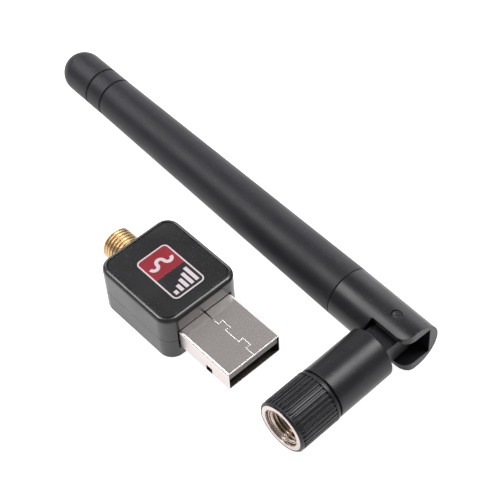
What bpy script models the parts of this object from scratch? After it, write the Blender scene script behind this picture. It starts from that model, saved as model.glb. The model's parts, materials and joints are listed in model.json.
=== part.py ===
"""USB wifi adapter: a plug-in dongle, and its unscrewed swivel antenna lying beside it on the table.

The origin is the centre of the dongle's underside. The USB plug points along -Y and the antenna
jack along +Y. The antenna lies on the +X side, with its elbow bent almost square.
Run it with: blender --background --python part.py
"""

import math

import bmesh
import bpy
from mathutils import Matrix, Vector

MM = 0.001

# The dongle's housing: two shells that push together on an inner lip.
HOUSING_WIDTH = 16.9 * MM
HOUSING_LENGTH = 19.1 * MM
HOUSING_HEIGHT = 10.9 * MM
HOUSING_CORNER = 2.8 * MM
SPLIT_HEIGHT = 5.0 * MM
SPLIT_GAP = 0.1 * MM
SHELL_WALL = 1.2 * MM
LIP_THICKNESS = 0.6 * MM
LIP_DEPTH = 1.0 * MM
TOP_EDGE_RADIUS = 0.9 * MM
BOTTOM_EDGE_RADIUS = 0.6 * MM
LABEL_MARGIN = 1.0 * MM
LABEL_RECESS = 0.4 * MM
LABEL_THICKNESS = 0.3 * MM
LABEL_CORNER = 1.9 * MM
LABEL_GAP = 0.15 * MM

# The USB-A plug, with the standard's cross-section.
PLUG_WIDTH = 12.0 * MM
PLUG_HEIGHT = 4.5 * MM
PLUG_REACH = 12.65 * MM
PLUG_INSET = 1.6 * MM
PLUG_CENTRE_Z = 5.09 * MM
PLUG_WALL = 0.3 * MM
PLUG_CORNER = 0.5 * MM
SEAM_WIDTH = 0.08 * MM
TAB_SIZE = 1.0 * MM
TAB_LENGTH = 1.6 * MM
TAB_STARTS = (3.7 * MM, 8.9 * MM)
WINDOW_SIDE = 1.5 * MM
WINDOW_SETBACK = 5.0 * MM
LATCH_WINDOW = (2.5 * MM, 2.2 * MM)
LATCH_WINDOW_X = 3.0 * MM
LATCH_WINDOW_SETBACK = 5.1 * MM
TONGUE_HEIGHT = 1.85 * MM
TONGUE_SETBACK = 0.25 * MM
CONTACT_X = (-3.5 * MM, -1.0 * MM, 1.0 * MM, 3.5 * MM)
CONTACT_WIDTH = 1.0 * MM
CONTACT_THICKNESS = 0.2 * MM
CONTACT_GROOVE = 0.1 * MM

# The circuit board and what is soldered to it.
BOARD_THICKNESS = 1.0 * MM
BOARD_TOP = 4.5 * MM
POST_RADIUS = 0.9 * MM
POST_INSET = 1.3 * MM

# The reverse-polarity SMA jack, 1/4-36 thread, on the dongle's back.
THREAD_DIAMETER = 6.35 * MM
JACK_AXIS_Z = 5.0 * MM
JACK_REACH = 5.8 * MM
JACK_MOUTH_DEPTH = 2.8 * MM
JACK_BARREL_RADIUS = 2.28 * MM
JACK_FLANGE = 6.2 * MM
JACK_FLANGE_THICKNESS = 1.5 * MM
JACK_LEG = (0.9 * MM, 2.8 * MM, 0.7 * MM)
JACK_LEG_X = 2.4 * MM
PIN_RADIUS = 0.45 * MM
INSULATOR_RADIUS = 1.95 * MM

# Where the antenna lies, and how far its elbow is bent.
ELBOW_X = 21.76 * MM
ELBOW_Y = -34.44 * MM
BASE_HEADING = math.radians(180.8)
ELBOW_BEND = math.radians(87.65)

# The elbow: a flat tongue on the base turns between the two cheeks of the whip's fork.
FORK_RADIUS = 5.0 * MM
FORK_OVERHANG = 0.25 * MM
CHEEK_ROUNDING = 0.2 * MM
ELBOW_GAP = 0.98 * MM
FORK_LENGTH = 11.78 * MM
SLOT_HALF_HEIGHT = 3.1 * MM
SLOT_REACH = 3.0 * MM
ELBOW_CLEARANCE = 0.1 * MM
PIVOT_PIN_RADIUS = 1.0 * MM
PIVOT_PIN_FROM_CABLE = 0.5 * MM
PIVOT_PIN_SUNK = 0.12 * MM
SPIGOT_RADIUS = 3.55 * MM
SPIGOT_LENGTH = 3.7 * MM

# The whip: a tapered rubber cover with a round tip over a sleeve dipole.
SEAM_GAP = 0.1 * MM
TIP_RADIUS = 4.19 * MM
TAPER_END = 79.1 * MM
BAND_START = 83.4 * MM
DOME_CENTRE = 89.5 * MM
RING_GROOVE = 0.35 * MM
COVER_BORE = 2.9 * MM
COVER_END_WALL = 3.0 * MM
SLEEVE_RADIUS = 2.3 * MM
SLEEVE_WALL = 0.35 * MM
SLEEVE_START = 17.5 * MM
SLEEVE_LENGTH = 25.0 * MM
COAX_RADIUS = 0.9 * MM
WIRE_RADIUS = 0.45 * MM
WIRE_LENGTH = 40.0 * MM
SPACER_LENGTH = 2.0 * MM

# The base: a round body with the tongue at one end and the screw-on plug at the other.
BASE_RADIUS = 4.97 * MM
BASE_END = 18.1 * MM
BASE_NECK_RADIUS = 4.45 * MM
BASE_NECK = 0.4 * MM
TAIL_RADIUS = 2.6 * MM
TAIL_START = 11.0 * MM
PLUG_BARREL_RADIUS = 2.2 * MM
PLUG_BARREL_WALL = 0.4 * MM
PLUG_BARREL_END = 24.2 * MM

# The coupling nut: a ribbed plastic grip moulded round a threaded metal insert.
NUT_RADIUS = 5.1 * MM
NUT_GAP = 0.1 * MM
NUT_LENGTH = 9.05 * MM
RIB_COUNT = 36
RIB_DEPTH = 0.3 * MM
NUT_BACK_RIM = 0.6 * MM
NUT_FRONT_RIM = 0.4 * MM
NUT_GROOVE = 0.35 * MM
NUT_CHAMFER = 0.35 * MM
INSERT_RADIUS = 4.1 * MM
INSERT_SETBACK = 1.0 * MM
INSERT_BACK_WALL = 0.9 * MM
RING_THICKNESS = 0.4 * MM
GASKET_THICKNESS = 0.5 * MM
RUNNING_CLEARANCE = 0.06 * MM

FIT = 0.05 * MM
ROUND_STEPS = 40
SMALL_STEPS = 24
OVERSHOOT = 2.0 * MM

PARTS = bpy.data.collections.new("usb_wifi_adapter")
CUTTERS = bpy.data.collections.new("cutters")


def clear_scene():
    """Removes the objects that the scene starts with and links the two collections."""
    for obj in list(bpy.data.objects):
        bpy.data.objects.remove(obj)
    for collection in (PARTS, CUTTERS):
        bpy.context.scene.collection.children.link(collection)


def finish(name, colour, roughness, metallic=0.0):
    """A plain Principled material."""
    material = bpy.data.materials.new(name)
    material.use_nodes = True
    shader = material.node_tree.nodes["Principled BSDF"]
    shader.inputs["Base Color"].default_value = (*colour, 1.0)
    shader.inputs["Roughness"].default_value = roughness
    shader.inputs["Metallic"].default_value = metallic
    return material


BLACK_GLOSS = finish("black_gloss_plastic", (0.02, 0.02, 0.022), 0.25)
BLACK_LABEL = finish("black_label", (0.03, 0.03, 0.032), 0.3)
BLACK_SATIN = finish("black_satin_plastic", (0.03, 0.03, 0.034), 0.5)
BLACK_RUBBER = finish("black_rubber", (0.03, 0.03, 0.034), 0.6)
STEEL = finish("plated_steel", (0.6, 0.57, 0.55), 0.35, 1.0)
GOLD = finish("gold_plate", (0.9, 0.66, 0.3), 0.3, 1.0)
NICKEL = finish("nickel_plate", (0.75, 0.7, 0.66), 0.25, 1.0)
BRASS = finish("brass", (0.75, 0.55, 0.25), 0.35, 1.0)
GREY_PLASTIC = finish("grey_plastic", (0.25, 0.24, 0.24), 0.5)
WHITE_PLASTIC = finish("white_insulator", (0.85, 0.84, 0.8), 0.5)
BOARD_GREEN = finish("board_laminate", (0.03, 0.16, 0.07), 0.4)
CHIP_BLACK = finish("chip_epoxy", (0.03, 0.03, 0.03), 0.5)
CERAMIC = finish("component_ceramic", (0.42, 0.3, 0.2), 0.5)
SILICONE = finish("red_silicone", (0.5, 0.08, 0.05), 0.6)


def add_object(name, mesh, material, parent=None):
    """Puts a mesh in the parts collection, carried by an empty if one is given."""
    obj = bpy.data.objects.new(name, mesh)
    obj.parent = parent
    obj.data.materials.append(material)
    PARTS.objects.link(obj)
    return obj


def as_cutter(obj):
    """Turns an object into a Boolean's helper, which isn't a part."""
    PARTS.objects.unlink(obj)
    CUTTERS.objects.link(obj)
    obj.hide_render = True
    obj.display_type = "WIRE"
    return obj


def combine(target, helper, operation="DIFFERENCE"):
    """Cuts the helper from the target, or joins it on, and keeps the helper out of the parts."""
    modifier = target.modifiers.new(helper.name, "BOOLEAN")
    modifier.operation = operation
    modifier.object = as_cutter(helper)
    modifier.solver = "EXACT"
    return target


def empty(name, location, parent=None):
    """An axis marker that carries the parts of one moving group."""
    marker = bpy.data.objects.new(name, None)
    marker.empty_display_size = 5 * MM
    marker.location = location
    marker.parent = parent
    PARTS.objects.link(marker)
    return marker


def block(name, low, high, material, parent=None, corner=0.0, segments=5):
    """A box between two corners, with its four upright edges rounded if a corner radius is given."""
    low, high = Vector(low), Vector(high)
    shape = bmesh.new()
    bmesh.ops.create_cube(shape, size=1.0)
    bmesh.ops.scale(shape, vec=high - low, verts=shape.verts)
    bmesh.ops.translate(shape, vec=(low + high) / 2, verts=shape.verts)
    if corner:
        upright = [e for e in shape.edges if abs(e.verts[0].co.z - e.verts[1].co.z) > MM * 0.01]
        bmesh.ops.bevel(
            shape, geom=upright, offset=corner, segments=segments, profile=0.5, affect="EDGES"
        )
    mesh = bpy.data.meshes.new(name)
    shape.to_mesh(mesh)
    shape.free()
    return add_object(name, mesh, material, parent)


def round_rim(obj, height, radius, segments):
    """Rounds the rim of the flat face at this height."""
    shape = bmesh.new()
    shape.from_mesh(obj.data)
    rim = [e for e in shape.edges if all(abs(v.co.z - height) < MM * 0.001 for v in e.verts)]
    bmesh.ops.bevel(
        shape, geom=rim, offset=radius, segments=segments, profile=0.5, affect="EDGES"
    )
    shape.to_mesh(obj.data)
    shape.free()


def arc(centre, radius, start, end, steps):
    """Points of an arc, with its angles in degrees."""
    angles = [math.radians(start + (end - start) * i / steps) for i in range(steps + 1)]
    return [(centre[0] + radius * math.cos(a), centre[1] + radius * math.sin(a)) for a in angles]


def plate(name, outline, thickness, material, parent=None, turn=None):
    """A flat outline in XY made solid, half its thickness to each side of the plane."""
    curve = bpy.data.curves.new(name, "CURVE")
    curve.dimensions = "2D"
    curve.fill_mode = "BOTH"
    curve.extrude = thickness / 2
    spline = curve.splines.new("POLY")
    spline.points.add(len(outline) - 1)
    for point, (x, y) in zip(spline.points, outline):
        point.co = (x, y, 0.0, 1.0)
    spline.use_cyclic_u = True
    return meshed(name, curve, material, parent, turn)


def ribbon(name, path, height, thickness, material, parent=None, turn=None):
    """A thin wall that stands on an open path in XY."""
    curve = bpy.data.curves.new(name, "CURVE")
    curve.dimensions = "2D"
    curve.fill_mode = "NONE"
    curve.extrude = height / 2
    spline = curve.splines.new("POLY")
    spline.points.add(len(path) - 1)
    for point, (x, y) in zip(spline.points, path):
        point.co = (x, y, 0.0, 1.0)
    obj = meshed(name, curve, material, parent, turn)
    wall = obj.modifiers.new("wall", "SOLIDIFY")
    wall.thickness = thickness
    wall.offset = 0.0
    return obj


def meshed(name, curve, material, parent, turn):
    """The mesh of a curve, its loose caps welded on and its faces turned outwards."""
    source = bpy.data.objects.new(name + "_curve", curve)
    PARTS.objects.link(source)
    graph = bpy.context.evaluated_depsgraph_get()
    mesh = bpy.data.meshes.new_from_object(source.evaluated_get(graph))
    bpy.data.objects.remove(source)
    shape = bmesh.new()
    shape.from_mesh(mesh)
    bmesh.ops.remove_doubles(shape, verts=shape.verts, dist=MM * 0.001)
    if turn is not None:
        bmesh.ops.transform(shape, matrix=turn, verts=shape.verts)
    bmesh.ops.recalc_face_normals(shape, faces=shape.faces)
    shape.to_mesh(mesh)
    shape.free()
    mesh.materials.clear()
    return add_object(name, mesh, material, parent)


def turned(name, profile, material, parent=None, steps=ROUND_STEPS, closed=True):
    """A turned piece: (radius, height) points down its outer side, spun about Z.

    A closed profile goes back up the bore. An open one starts and ends on the axis.
    """
    mesh = bpy.data.meshes.new(name)
    points = [(radius, 0.0, height) for radius, height in profile]
    edges = [(i, i + 1) for i in range(len(points) - 1)]
    if closed:
        edges.append((len(points) - 1, 0))
    mesh.from_pydata(points, edges, [])
    obj = add_object(name, mesh, material, parent)
    screw = obj.modifiers.new("turn", "SCREW")
    screw.axis = "Z"
    screw.steps = steps
    screw.render_steps = steps
    screw.use_merge_vertices = True
    screw.merge_threshold = MM * 0.001
    screw.use_smooth_shade = True
    return obj


def tube(name, outer, inner, start, end, material, parent=None, steps=ROUND_STEPS):
    """A plain tube, or a rod if it has no bore."""
    if inner:
        profile = [(inner, end), (outer, end), (outer, start), (inner, start)]
    else:
        profile = [(0.0, end), (outer, end), (outer, start), (0.0, start)]
    return turned(name, profile, material, parent, steps, closed=bool(inner))


def along_y(obj, start_y, x, z):
    """Lays a turned piece along +Y, with its zero height at start_y."""
    obj.rotation_euler = (math.radians(-90), 0.0, 0.0)
    obj.location = (x, start_y, z)
    return obj


SIDE_ON = Matrix.Rotation(math.radians(90), 4, "Z") @ Matrix.Rotation(math.radians(90), 4, "X")
FRONT_ON = Matrix.Rotation(math.radians(90), 4, "X")

HALF_WIDTH = HOUSING_WIDTH / 2
HALF_LENGTH = HOUSING_LENGTH / 2
LIP_OUTSET = SHELL_WALL + FIT
CAVITY_INSET = LIP_OUTSET + LIP_THICKNESS
BOARD_HALF_WIDTH = HALF_WIDTH - CAVITY_INSET - 6 * FIT
PLUG_FRONT = -HALF_LENGTH - PLUG_REACH
PLUG_BACK = -HALF_LENGTH + CAVITY_INSET + PLUG_INSET
PLUG_TOP = PLUG_CENTRE_Z + PLUG_HEIGHT / 2
PLUG_BOTTOM = PLUG_CENTRE_Z - PLUG_HEIGHT / 2
BOARD_FRONT = PLUG_BACK + 4 * FIT
JACK_INNER_FACE = HALF_LENGTH - CAVITY_INSET - 2 * FIT
JACK_BACK = JACK_INNER_FACE - JACK_FLANGE_THICKNESS
BOARD_BACK = JACK_BACK - 4 * FIT


def housing_openings(target):
    """Cuts the plug's slot and the jack's hole through a shell."""
    plug = block(
        target.name + "_plug_slot",
        (-PLUG_WIDTH / 2 - FIT, -HALF_LENGTH - OVERSHOOT, PLUG_BOTTOM - FIT),
        (PLUG_WIDTH / 2 + FIT, -HALF_LENGTH + CAVITY_INSET + OVERSHOOT / 2, PLUG_TOP + FIT),
        BLACK_GLOSS,
    )
    combine(target, plug)
    hole = tube(
        target.name + "_jack_hole",
        THREAD_DIAMETER / 2 + 2 * FIT,
        0.0,
        0.0,
        CAVITY_INSET + 2 * OVERSHOOT,
        BLACK_GLOSS,
    )
    along_y(hole, HALF_LENGTH - CAVITY_INSET - OVERSHOOT / 2, 0.0, JACK_AXIS_Z)
    combine(target, hole)


def lower_shell():
    """The tray: floor, walls up to the split and four posts under the board."""
    top = SPLIT_HEIGHT - SPLIT_GAP / 2
    shell = block(
        "lower_shell",
        (-HALF_WIDTH, -HALF_LENGTH, 0.0),
        (HALF_WIDTH, HALF_LENGTH, top),
        BLACK_GLOSS,
        corner=HOUSING_CORNER,
    )
    round_rim(shell, 0.0, BOTTOM_EDGE_RADIUS, 2)
    cavity = block(
        "lower_cavity",
        (-HALF_WIDTH + SHELL_WALL, -HALF_LENGTH + SHELL_WALL, SHELL_WALL),
        (HALF_WIDTH - SHELL_WALL, HALF_LENGTH - SHELL_WALL, top + OVERSHOOT),
        BLACK_GLOSS,
        corner=HOUSING_CORNER - SHELL_WALL,
    )
    combine(shell, cavity)
    housing_openings(shell)
    for side in (-1, 1):
        for end_y in (BOARD_FRONT + POST_INSET, BOARD_BACK - POST_INSET):
            post = tube(
                "board_post",
                POST_RADIUS,
                0.0,
                SHELL_WALL / 2,
                BOARD_TOP - BOARD_THICKNESS - FIT,
                BLACK_GLOSS,
                steps=12,
            )
            post.location = (side * (BOARD_HALF_WIDTH - POST_INSET), end_y, 0.0)
            combine(shell, post, "UNION")
    return shell


def upper_shell():
    """The lid: it carries the label's recess, and its lip drops inside the tray's wall."""
    bottom = SPLIT_HEIGHT + SPLIT_GAP / 2
    shell = block(
        "upper_shell",
        (-HALF_WIDTH, -HALF_LENGTH, bottom),
        (HALF_WIDTH, HALF_LENGTH, HOUSING_HEIGHT),
        BLACK_GLOSS,
        corner=HOUSING_CORNER,
    )
    round_rim(shell, HOUSING_HEIGHT, TOP_EDGE_RADIUS, 3)
    lip = block(
        "upper_lip",
        (-HALF_WIDTH + LIP_OUTSET, -HALF_LENGTH + LIP_OUTSET, SPLIT_HEIGHT - LIP_DEPTH),
        (HALF_WIDTH - LIP_OUTSET, HALF_LENGTH - LIP_OUTSET, SPLIT_HEIGHT + LIP_DEPTH),
        BLACK_GLOSS,
        corner=HOUSING_CORNER - SHELL_WALL,
    )
    combine(shell, lip, "UNION")
    cavity = block(
        "upper_cavity",
        (-HALF_WIDTH + CAVITY_INSET, -HALF_LENGTH + CAVITY_INSET, SPLIT_HEIGHT - OVERSHOOT),
        (HALF_WIDTH - CAVITY_INSET, HALF_LENGTH - CAVITY_INSET, HOUSING_HEIGHT - SHELL_WALL),
        BLACK_GLOSS,
        corner=HOUSING_CORNER - CAVITY_INSET + LIP_THICKNESS,
    )
    combine(shell, cavity)
    housing_openings(shell)
    inset = LABEL_MARGIN - LABEL_GAP
    recess = block(
        "label_recess",
        (-HALF_WIDTH + inset, -HALF_LENGTH + inset, HOUSING_HEIGHT - LABEL_RECESS),
        (HALF_WIDTH - inset, HALF_LENGTH - inset, HOUSING_HEIGHT + OVERSHOOT),
        BLACK_GLOSS,
        corner=LABEL_CORNER + LABEL_GAP,
    )
    combine(shell, recess)
    return shell


def label_panel():
    """The printed plate that fills the recess, a thin groove all round it."""
    bottom = HOUSING_HEIGHT - LABEL_RECESS + FIT
    return block(
        "label_panel",
        (-HALF_WIDTH + LABEL_MARGIN, -HALF_LENGTH + LABEL_MARGIN, bottom),
        (HALF_WIDTH - LABEL_MARGIN, HALF_LENGTH - LABEL_MARGIN, bottom + LABEL_THICKNESS),
        BLACK_LABEL,
        corner=LABEL_CORNER,
    )


def rounded_rectangle(width, height, radius, steps=3):
    """An outline round the origin, counter-clockwise."""
    x, y = width / 2 - radius, height / 2 - radius
    corners = [((x, -y), -90), ((x, y), 0), ((-x, y), 90), ((-x, -y), 180)]
    return [p for centre, start in corners for p in arc(centre, radius, start, start + 90, steps)]


def seam_path():
    """The line where the plug's folded sheet meets itself, with two locking tabs."""
    path = [(0.0, PLUG_BACK + OVERSHOOT)]
    for start in TAB_STARTS:
        near, far = -HALF_LENGTH - start, -HALF_LENGTH - start - TAB_LENGTH
        flare = TAB_SIZE / 4
        path += [(0.0, near), (TAB_SIZE, near + flare), (TAB_SIZE, far - flare), (0.0, far)]
    return path + [(0.0, PLUG_FRONT - OVERSHOOT)]


def usb_shell():
    """The folded steel shell: a rectangular tube with its seam on top and four windows."""
    length = PLUG_BACK - PLUG_FRONT
    outline = rounded_rectangle(PLUG_WIDTH, PLUG_HEIGHT, PLUG_CORNER)
    shell = plate("usb_shell", outline, length, STEEL, turn=FRONT_ON)
    shell.location = (0.0, (PLUG_FRONT + PLUG_BACK) / 2, PLUG_CENTRE_Z)
    bore = plate(
        "usb_shell_bore",
        rounded_rectangle(
            PLUG_WIDTH - 2 * PLUG_WALL, PLUG_HEIGHT - 2 * PLUG_WALL, PLUG_CORNER - PLUG_WALL
        ),
        length + 2 * OVERSHOOT,
        STEEL,
        turn=FRONT_ON,
    )
    bore.location = shell.location
    combine(shell, bore)
    seam = ribbon("usb_seam", seam_path(), PLUG_HEIGHT / 2, SEAM_WIDTH, STEEL)
    seam.location = (0.0, 0.0, PLUG_TOP)
    combine(shell, seam)
    window_y = PLUG_FRONT + WINDOW_SETBACK
    side_window = block(
        "side_window",
        (-PLUG_WIDTH, window_y - WINDOW_SIDE / 2, PLUG_BOTTOM + PLUG_CORNER / 2),
        (PLUG_WIDTH, window_y + WINDOW_SIDE / 2, PLUG_BOTTOM + PLUG_CORNER / 2 + WINDOW_SIDE),
        STEEL,
    )
    combine(shell, side_window)
    width, depth = LATCH_WINDOW
    latch_y = PLUG_FRONT + LATCH_WINDOW_SETBACK
    for side in (-1, 1):
        window = block(
            "latch_window",
            (side * LATCH_WINDOW_X - width / 2, latch_y, PLUG_BOTTOM - OVERSHOOT),
            (side * LATCH_WINDOW_X + width / 2, latch_y + depth, PLUG_BOTTOM + 2 * PLUG_WALL),
            STEEL,
        )
        combine(shell, window)
    return shell


TONGUE_TOP = PLUG_TOP - PLUG_WALL - FIT
TONGUE_BOTTOM = TONGUE_TOP - TONGUE_HEIGHT
CONTACT_TOP = TONGUE_BOTTOM + CONTACT_GROOVE
CONTACT_BOTTOM = CONTACT_TOP - CONTACT_THICKNESS


def usb_tongue():
    """The plastic block that fills the plug's upper half, grooved for the contacts."""
    half = PLUG_WIDTH / 2 - PLUG_WALL - 2 * FIT
    tongue = block(
        "usb_tongue",
        (-half, PLUG_FRONT + TONGUE_SETBACK, TONGUE_BOTTOM),
        (half, PLUG_BACK - FIT, TONGUE_TOP),
        GREY_PLASTIC,
    )
    for x in CONTACT_X:
        groove = block(
            "contact_groove",
            (
                x - CONTACT_WIDTH / 2 - FIT,
                PLUG_FRONT + TONGUE_SETBACK + CONTACT_WIDTH,
                TONGUE_BOTTOM - OVERSHOOT,
            ),
            (x + CONTACT_WIDTH / 2 + FIT, PLUG_BACK + OVERSHOOT, CONTACT_TOP + FIT),
            GREY_PLASTIC,
        )
        combine(tongue, groove)
    return tongue


def usb_contact(index, x):
    """A flat spring contact under the tongue, with a step down to the board's pad."""
    front = PLUG_FRONT + TONGUE_SETBACK + 1.3 * CONTACT_WIDTH
    bend = BOARD_FRONT + FIT
    foot = BOARD_TOP + FIT
    toe = bend + CONTACT_WIDTH
    t = CONTACT_THICKNESS
    outline = [
        (front, CONTACT_BOTTOM),
        (bend, CONTACT_BOTTOM),
        (bend, foot),
        (toe, foot),
        (toe, foot + t),
        (bend + t, foot + t),
        (bend + t, CONTACT_TOP),
        (front, CONTACT_TOP),
    ]
    contact = plate(f"usb_contact_{index}", outline, CONTACT_WIDTH, GOLD, turn=SIDE_ON)
    contact.location = (x, 0.0, 0.0)
    return contact


def circuit_board():
    """The laminate that everything in the housing is soldered to."""
    return block(
        "circuit_board",
        (-BOARD_HALF_WIDTH, BOARD_FRONT, BOARD_TOP - BOARD_THICKNESS),
        (BOARD_HALF_WIDTH, BOARD_BACK, BOARD_TOP),
        BOARD_GREEN,
    )


def soldered(name, x, y, size, material):
    """A component on the board's top face, placed by the middle of its footprint."""
    width, length, height = size
    foot = BOARD_TOP + FIT
    return block(
        name,
        (x - width / 2, y - length / 2, foot),
        (x + width / 2, y + length / 2, foot + height),
        material,
    )


def memory_chip(x, y):
    """A small-outline package: its gull-wing leads are one strip on each side."""
    half, height, lead = 1.7 * MM, 1.4 * MM, 0.25 * MM
    toe, knee = 2.5 * MM, 2.1 * MM
    outline = [
        (-toe, 0.0),
        (-knee, 0.0),
        (-half, lead),
        (half, lead),
        (knee, 0.0),
        (toe, 0.0),
        (toe, lead),
        (knee, 2 * lead),
        (half, 2 * lead),
        (half, height),
        (-half, height),
        (-half, 2 * lead),
        (-knee, 2 * lead),
        (-toe, lead),
    ]
    chip = plate("memory_chip", outline, 3.2 * MM, CHIP_BLACK, turn=FRONT_ON)
    chip.location = (x, y, BOARD_TOP + FIT)
    return chip


def board_parts():
    """Radio chip, memory, crystal, regulator, lamp and the passive parts, behind the plug's pads."""
    first_row = BOARD_FRONT + 2.6 * MM
    last_row = BOARD_BACK - 1.6 * MM
    soldered("wifi_chip", -2.6 * MM, 0.3 * MM, (5.0 * MM, 5.0 * MM, 0.9 * MM), CHIP_BLACK)
    memory_chip(3.3 * MM, BOARD_BACK - 4.6 * MM)
    soldered("crystal", 3.9 * MM, -1.4 * MM, (3.2 * MM, 2.0 * MM, 0.8 * MM), STEEL)
    soldered("regulator", -4.2 * MM, first_row, (2.9 * MM, 1.6 * MM, 1.1 * MM), CHIP_BLACK)
    soldered("status_led", 5.2 * MM, first_row - 0.2 * MM, (0.8 * MM, 1.6 * MM, 0.6 * MM), WHITE_PLASTIC)
    soldered("power_inductor", 0.2 * MM, first_row, (2.0 * MM, 1.6 * MM, 1.2 * MM), CERAMIC)
    capacitor = (0.8 * MM, 1.6 * MM, 0.8 * MM)
    for index, x in enumerate((-1.7 * MM, 2.2 * MM, 3.6 * MM)):
        soldered(f"capacitor_{index + 1}", x, first_row, capacitor, CERAMIC)
    soldered("antenna_filter", -4.6 * MM, last_row, (1.6 * MM, 0.8 * MM, 0.6 * MM), CERAMIC)


def antenna_jack():
    """The jack: threaded body with its flange and legs, white insulator and centre pin."""
    radius = THREAD_DIAMETER / 2
    end = HALF_LENGTH + JACK_REACH - JACK_BACK
    mouth = end - JACK_MOUTH_DEPTH
    chamfer = 0.35 * MM
    bore = INSULATOR_RADIUS + FIT
    mouth_radius = JACK_BARREL_RADIUS + RUNNING_CLEARANCE
    body = turned(
        "rf_jack_body",
        [
            (mouth_radius, end),
            (radius - chamfer, end),
            (radius, end - chamfer),
            (radius, 0.3 * JACK_FLANGE_THICKNESS),
            (bore, 0.3 * JACK_FLANGE_THICKNESS),
            (bore, mouth),
            (mouth_radius, mouth),
        ],
        GOLD,
    )
    along_y(body, JACK_BACK, 0.0, JACK_AXIS_Z)
    half = JACK_FLANGE / 2
    flange = block(
        "jack_flange",
        (-half, JACK_BACK, JACK_AXIS_Z - half),
        (half, JACK_INNER_FACE, JACK_AXIS_Z + half),
        GOLD,
    )
    combine(body, flange, "UNION")
    width, length, height = JACK_LEG
    for side in (-1, 1):
        leg = block(
            "jack_leg",
            (side * JACK_LEG_X - width / 2, JACK_BACK - length, BOARD_TOP + FIT),
            (side * JACK_LEG_X + width / 2, JACK_BACK + FIT * 4, BOARD_TOP + FIT + height),
            GOLD,
        )
        combine(body, leg, "UNION")
    clear_bore = tube("jack_bore", bore, 0.0, -OVERSHOOT, JACK_FLANGE_THICKNESS + OVERSHOOT, GOLD)
    combine(body, along_y(clear_bore, JACK_BACK, 0.0, JACK_AXIS_Z))
    insulator = tube(
        "rf_jack_insulator",
        INSULATOR_RADIUS,
        PIN_RADIUS + FIT,
        FIT,
        mouth - FIT,
        WHITE_PLASTIC,
        steps=SMALL_STEPS,
    )
    along_y(insulator, JACK_BACK, 0.0, JACK_AXIS_Z)
    pin = turned(
        "rf_jack_pin",
        [
            (0.0, end - 0.5 * MM),
            (PIN_RADIUS / 2, end - 0.5 * MM),
            (PIN_RADIUS, end - 1.0 * MM),
            (PIN_RADIUS, -length),
            (0.0, -length),
        ],
        GOLD,
        steps=16,
        closed=False,
    )
    along_y(pin, JACK_BACK, 0.0, JACK_AXIS_Z)


FORK_END = FORK_RADIUS + FORK_OVERHANG
FORK_ROUND = FORK_END + CHEEK_ROUNDING
SHOULDER = FORK_RADIUS + ELBOW_GAP
CABLE_BORE = COAX_RADIUS + 2 * FIT


def antenna_axes():
    """Empties on the antenna's axes: Z along each tube away from the elbow, X along the pivot pins.

    The antenna rests on the edge of its fork and on its round tip, so the whip drops a little.
    """
    span = DOME_CENTRE - FORK_LENGTH
    drop = math.asin((FORK_RADIUS - TIP_RADIUS) / span)
    height = FORK_RADIUS * math.cos(drop) + FORK_LENGTH * math.sin(drop)
    lying = empty("antenna_base_axis", (ELBOW_X, ELBOW_Y, height))
    away = Vector((math.cos(BASE_HEADING), math.sin(BASE_HEADING), 0.0))
    up = Matrix.Rotation(drop, 3, away) @ Vector((0.0, 0.0, 1.0))
    side = away.cross(up)
    turn = Matrix((up, side, away)).transposed()
    lying.rotation_euler = turn.to_euler()
    whip = empty("whip_axis", (0.0, 0.0, 0.0), lying)
    whip.rotation_euler = (math.pi + ELBOW_BEND, 0.0, 0.0)
    nut = empty("coupling_nut_axis", (0.0, 0.0, 0.0), lying)
    return lying, whip, nut


def pivot_pin_hole(name, radius, axis):
    """A cutter along the pivot pins."""
    hole = tube(name, radius, 0.0, -2 * FORK_RADIUS, 2 * FORK_RADIUS, STEEL, axis, SMALL_STEPS)
    hole.rotation_euler = (0.0, math.radians(90), 0.0)
    return hole


def elbow_fork(whip):
    """The whip's lower end: a round sleeve slotted for the tongue, and a spigot for the cover."""
    top = FORK_LENGTH + SPIGOT_LENGTH
    fork = turned(
        "elbow_fork",
        [
            (CABLE_BORE, top),
            (SPIGOT_RADIUS, top),
            (SPIGOT_RADIUS, FORK_LENGTH),
            (FORK_RADIUS, FORK_LENGTH),
            (FORK_RADIUS, -FORK_END - OVERSHOOT),
            (CABLE_BORE, -FORK_END - OVERSHOOT),
        ],
        BLACK_SATIN,
        whip,
    )
    rim_y = math.sqrt(FORK_ROUND**2 - FORK_END**2)
    start = 180 + math.degrees(math.asin(rim_y / FORK_ROUND))
    wide = FORK_RADIUS + OVERSHOOT
    outline = [(top + OVERSHOOT, wide), (-FORK_END, wide)]
    outline += arc((0.0, 0.0), FORK_ROUND, start, 270, 8)
    outline += [(top + OVERSHOOT, -FORK_ROUND)]
    plan = plate("fork_plan", outline, 4 * FORK_RADIUS, BLACK_SATIN, whip, PLAN_VIEW)
    combine(fork, plan, "INTERSECT")
    reach = FORK_END + OVERSHOOT
    slot = [(-reach, SLOT_REACH), (-reach, -wide), (SLOT_REACH, -wide)]
    slot += arc((0.0, 0.0), SLOT_REACH, 0, 90, 8)
    cutter = plate("fork_slot", slot, 2 * SLOT_HALF_HEIGHT, BLACK_SATIN, whip, PLAN_VIEW)
    combine(fork, cutter)
    combine(fork, pivot_pin_hole("fork_pin_hole", PIVOT_PIN_RADIUS + FIT, whip))
    return fork


# Takes an outline drawn as (along the tube, to the side) to the elbow's plan: Z, then Y.
PLAN_VIEW = Matrix(((0, 0, 1, 0), (0, 1, 0, 0), (1, 0, 0, 0), (0, 0, 0, 1)))


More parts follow.
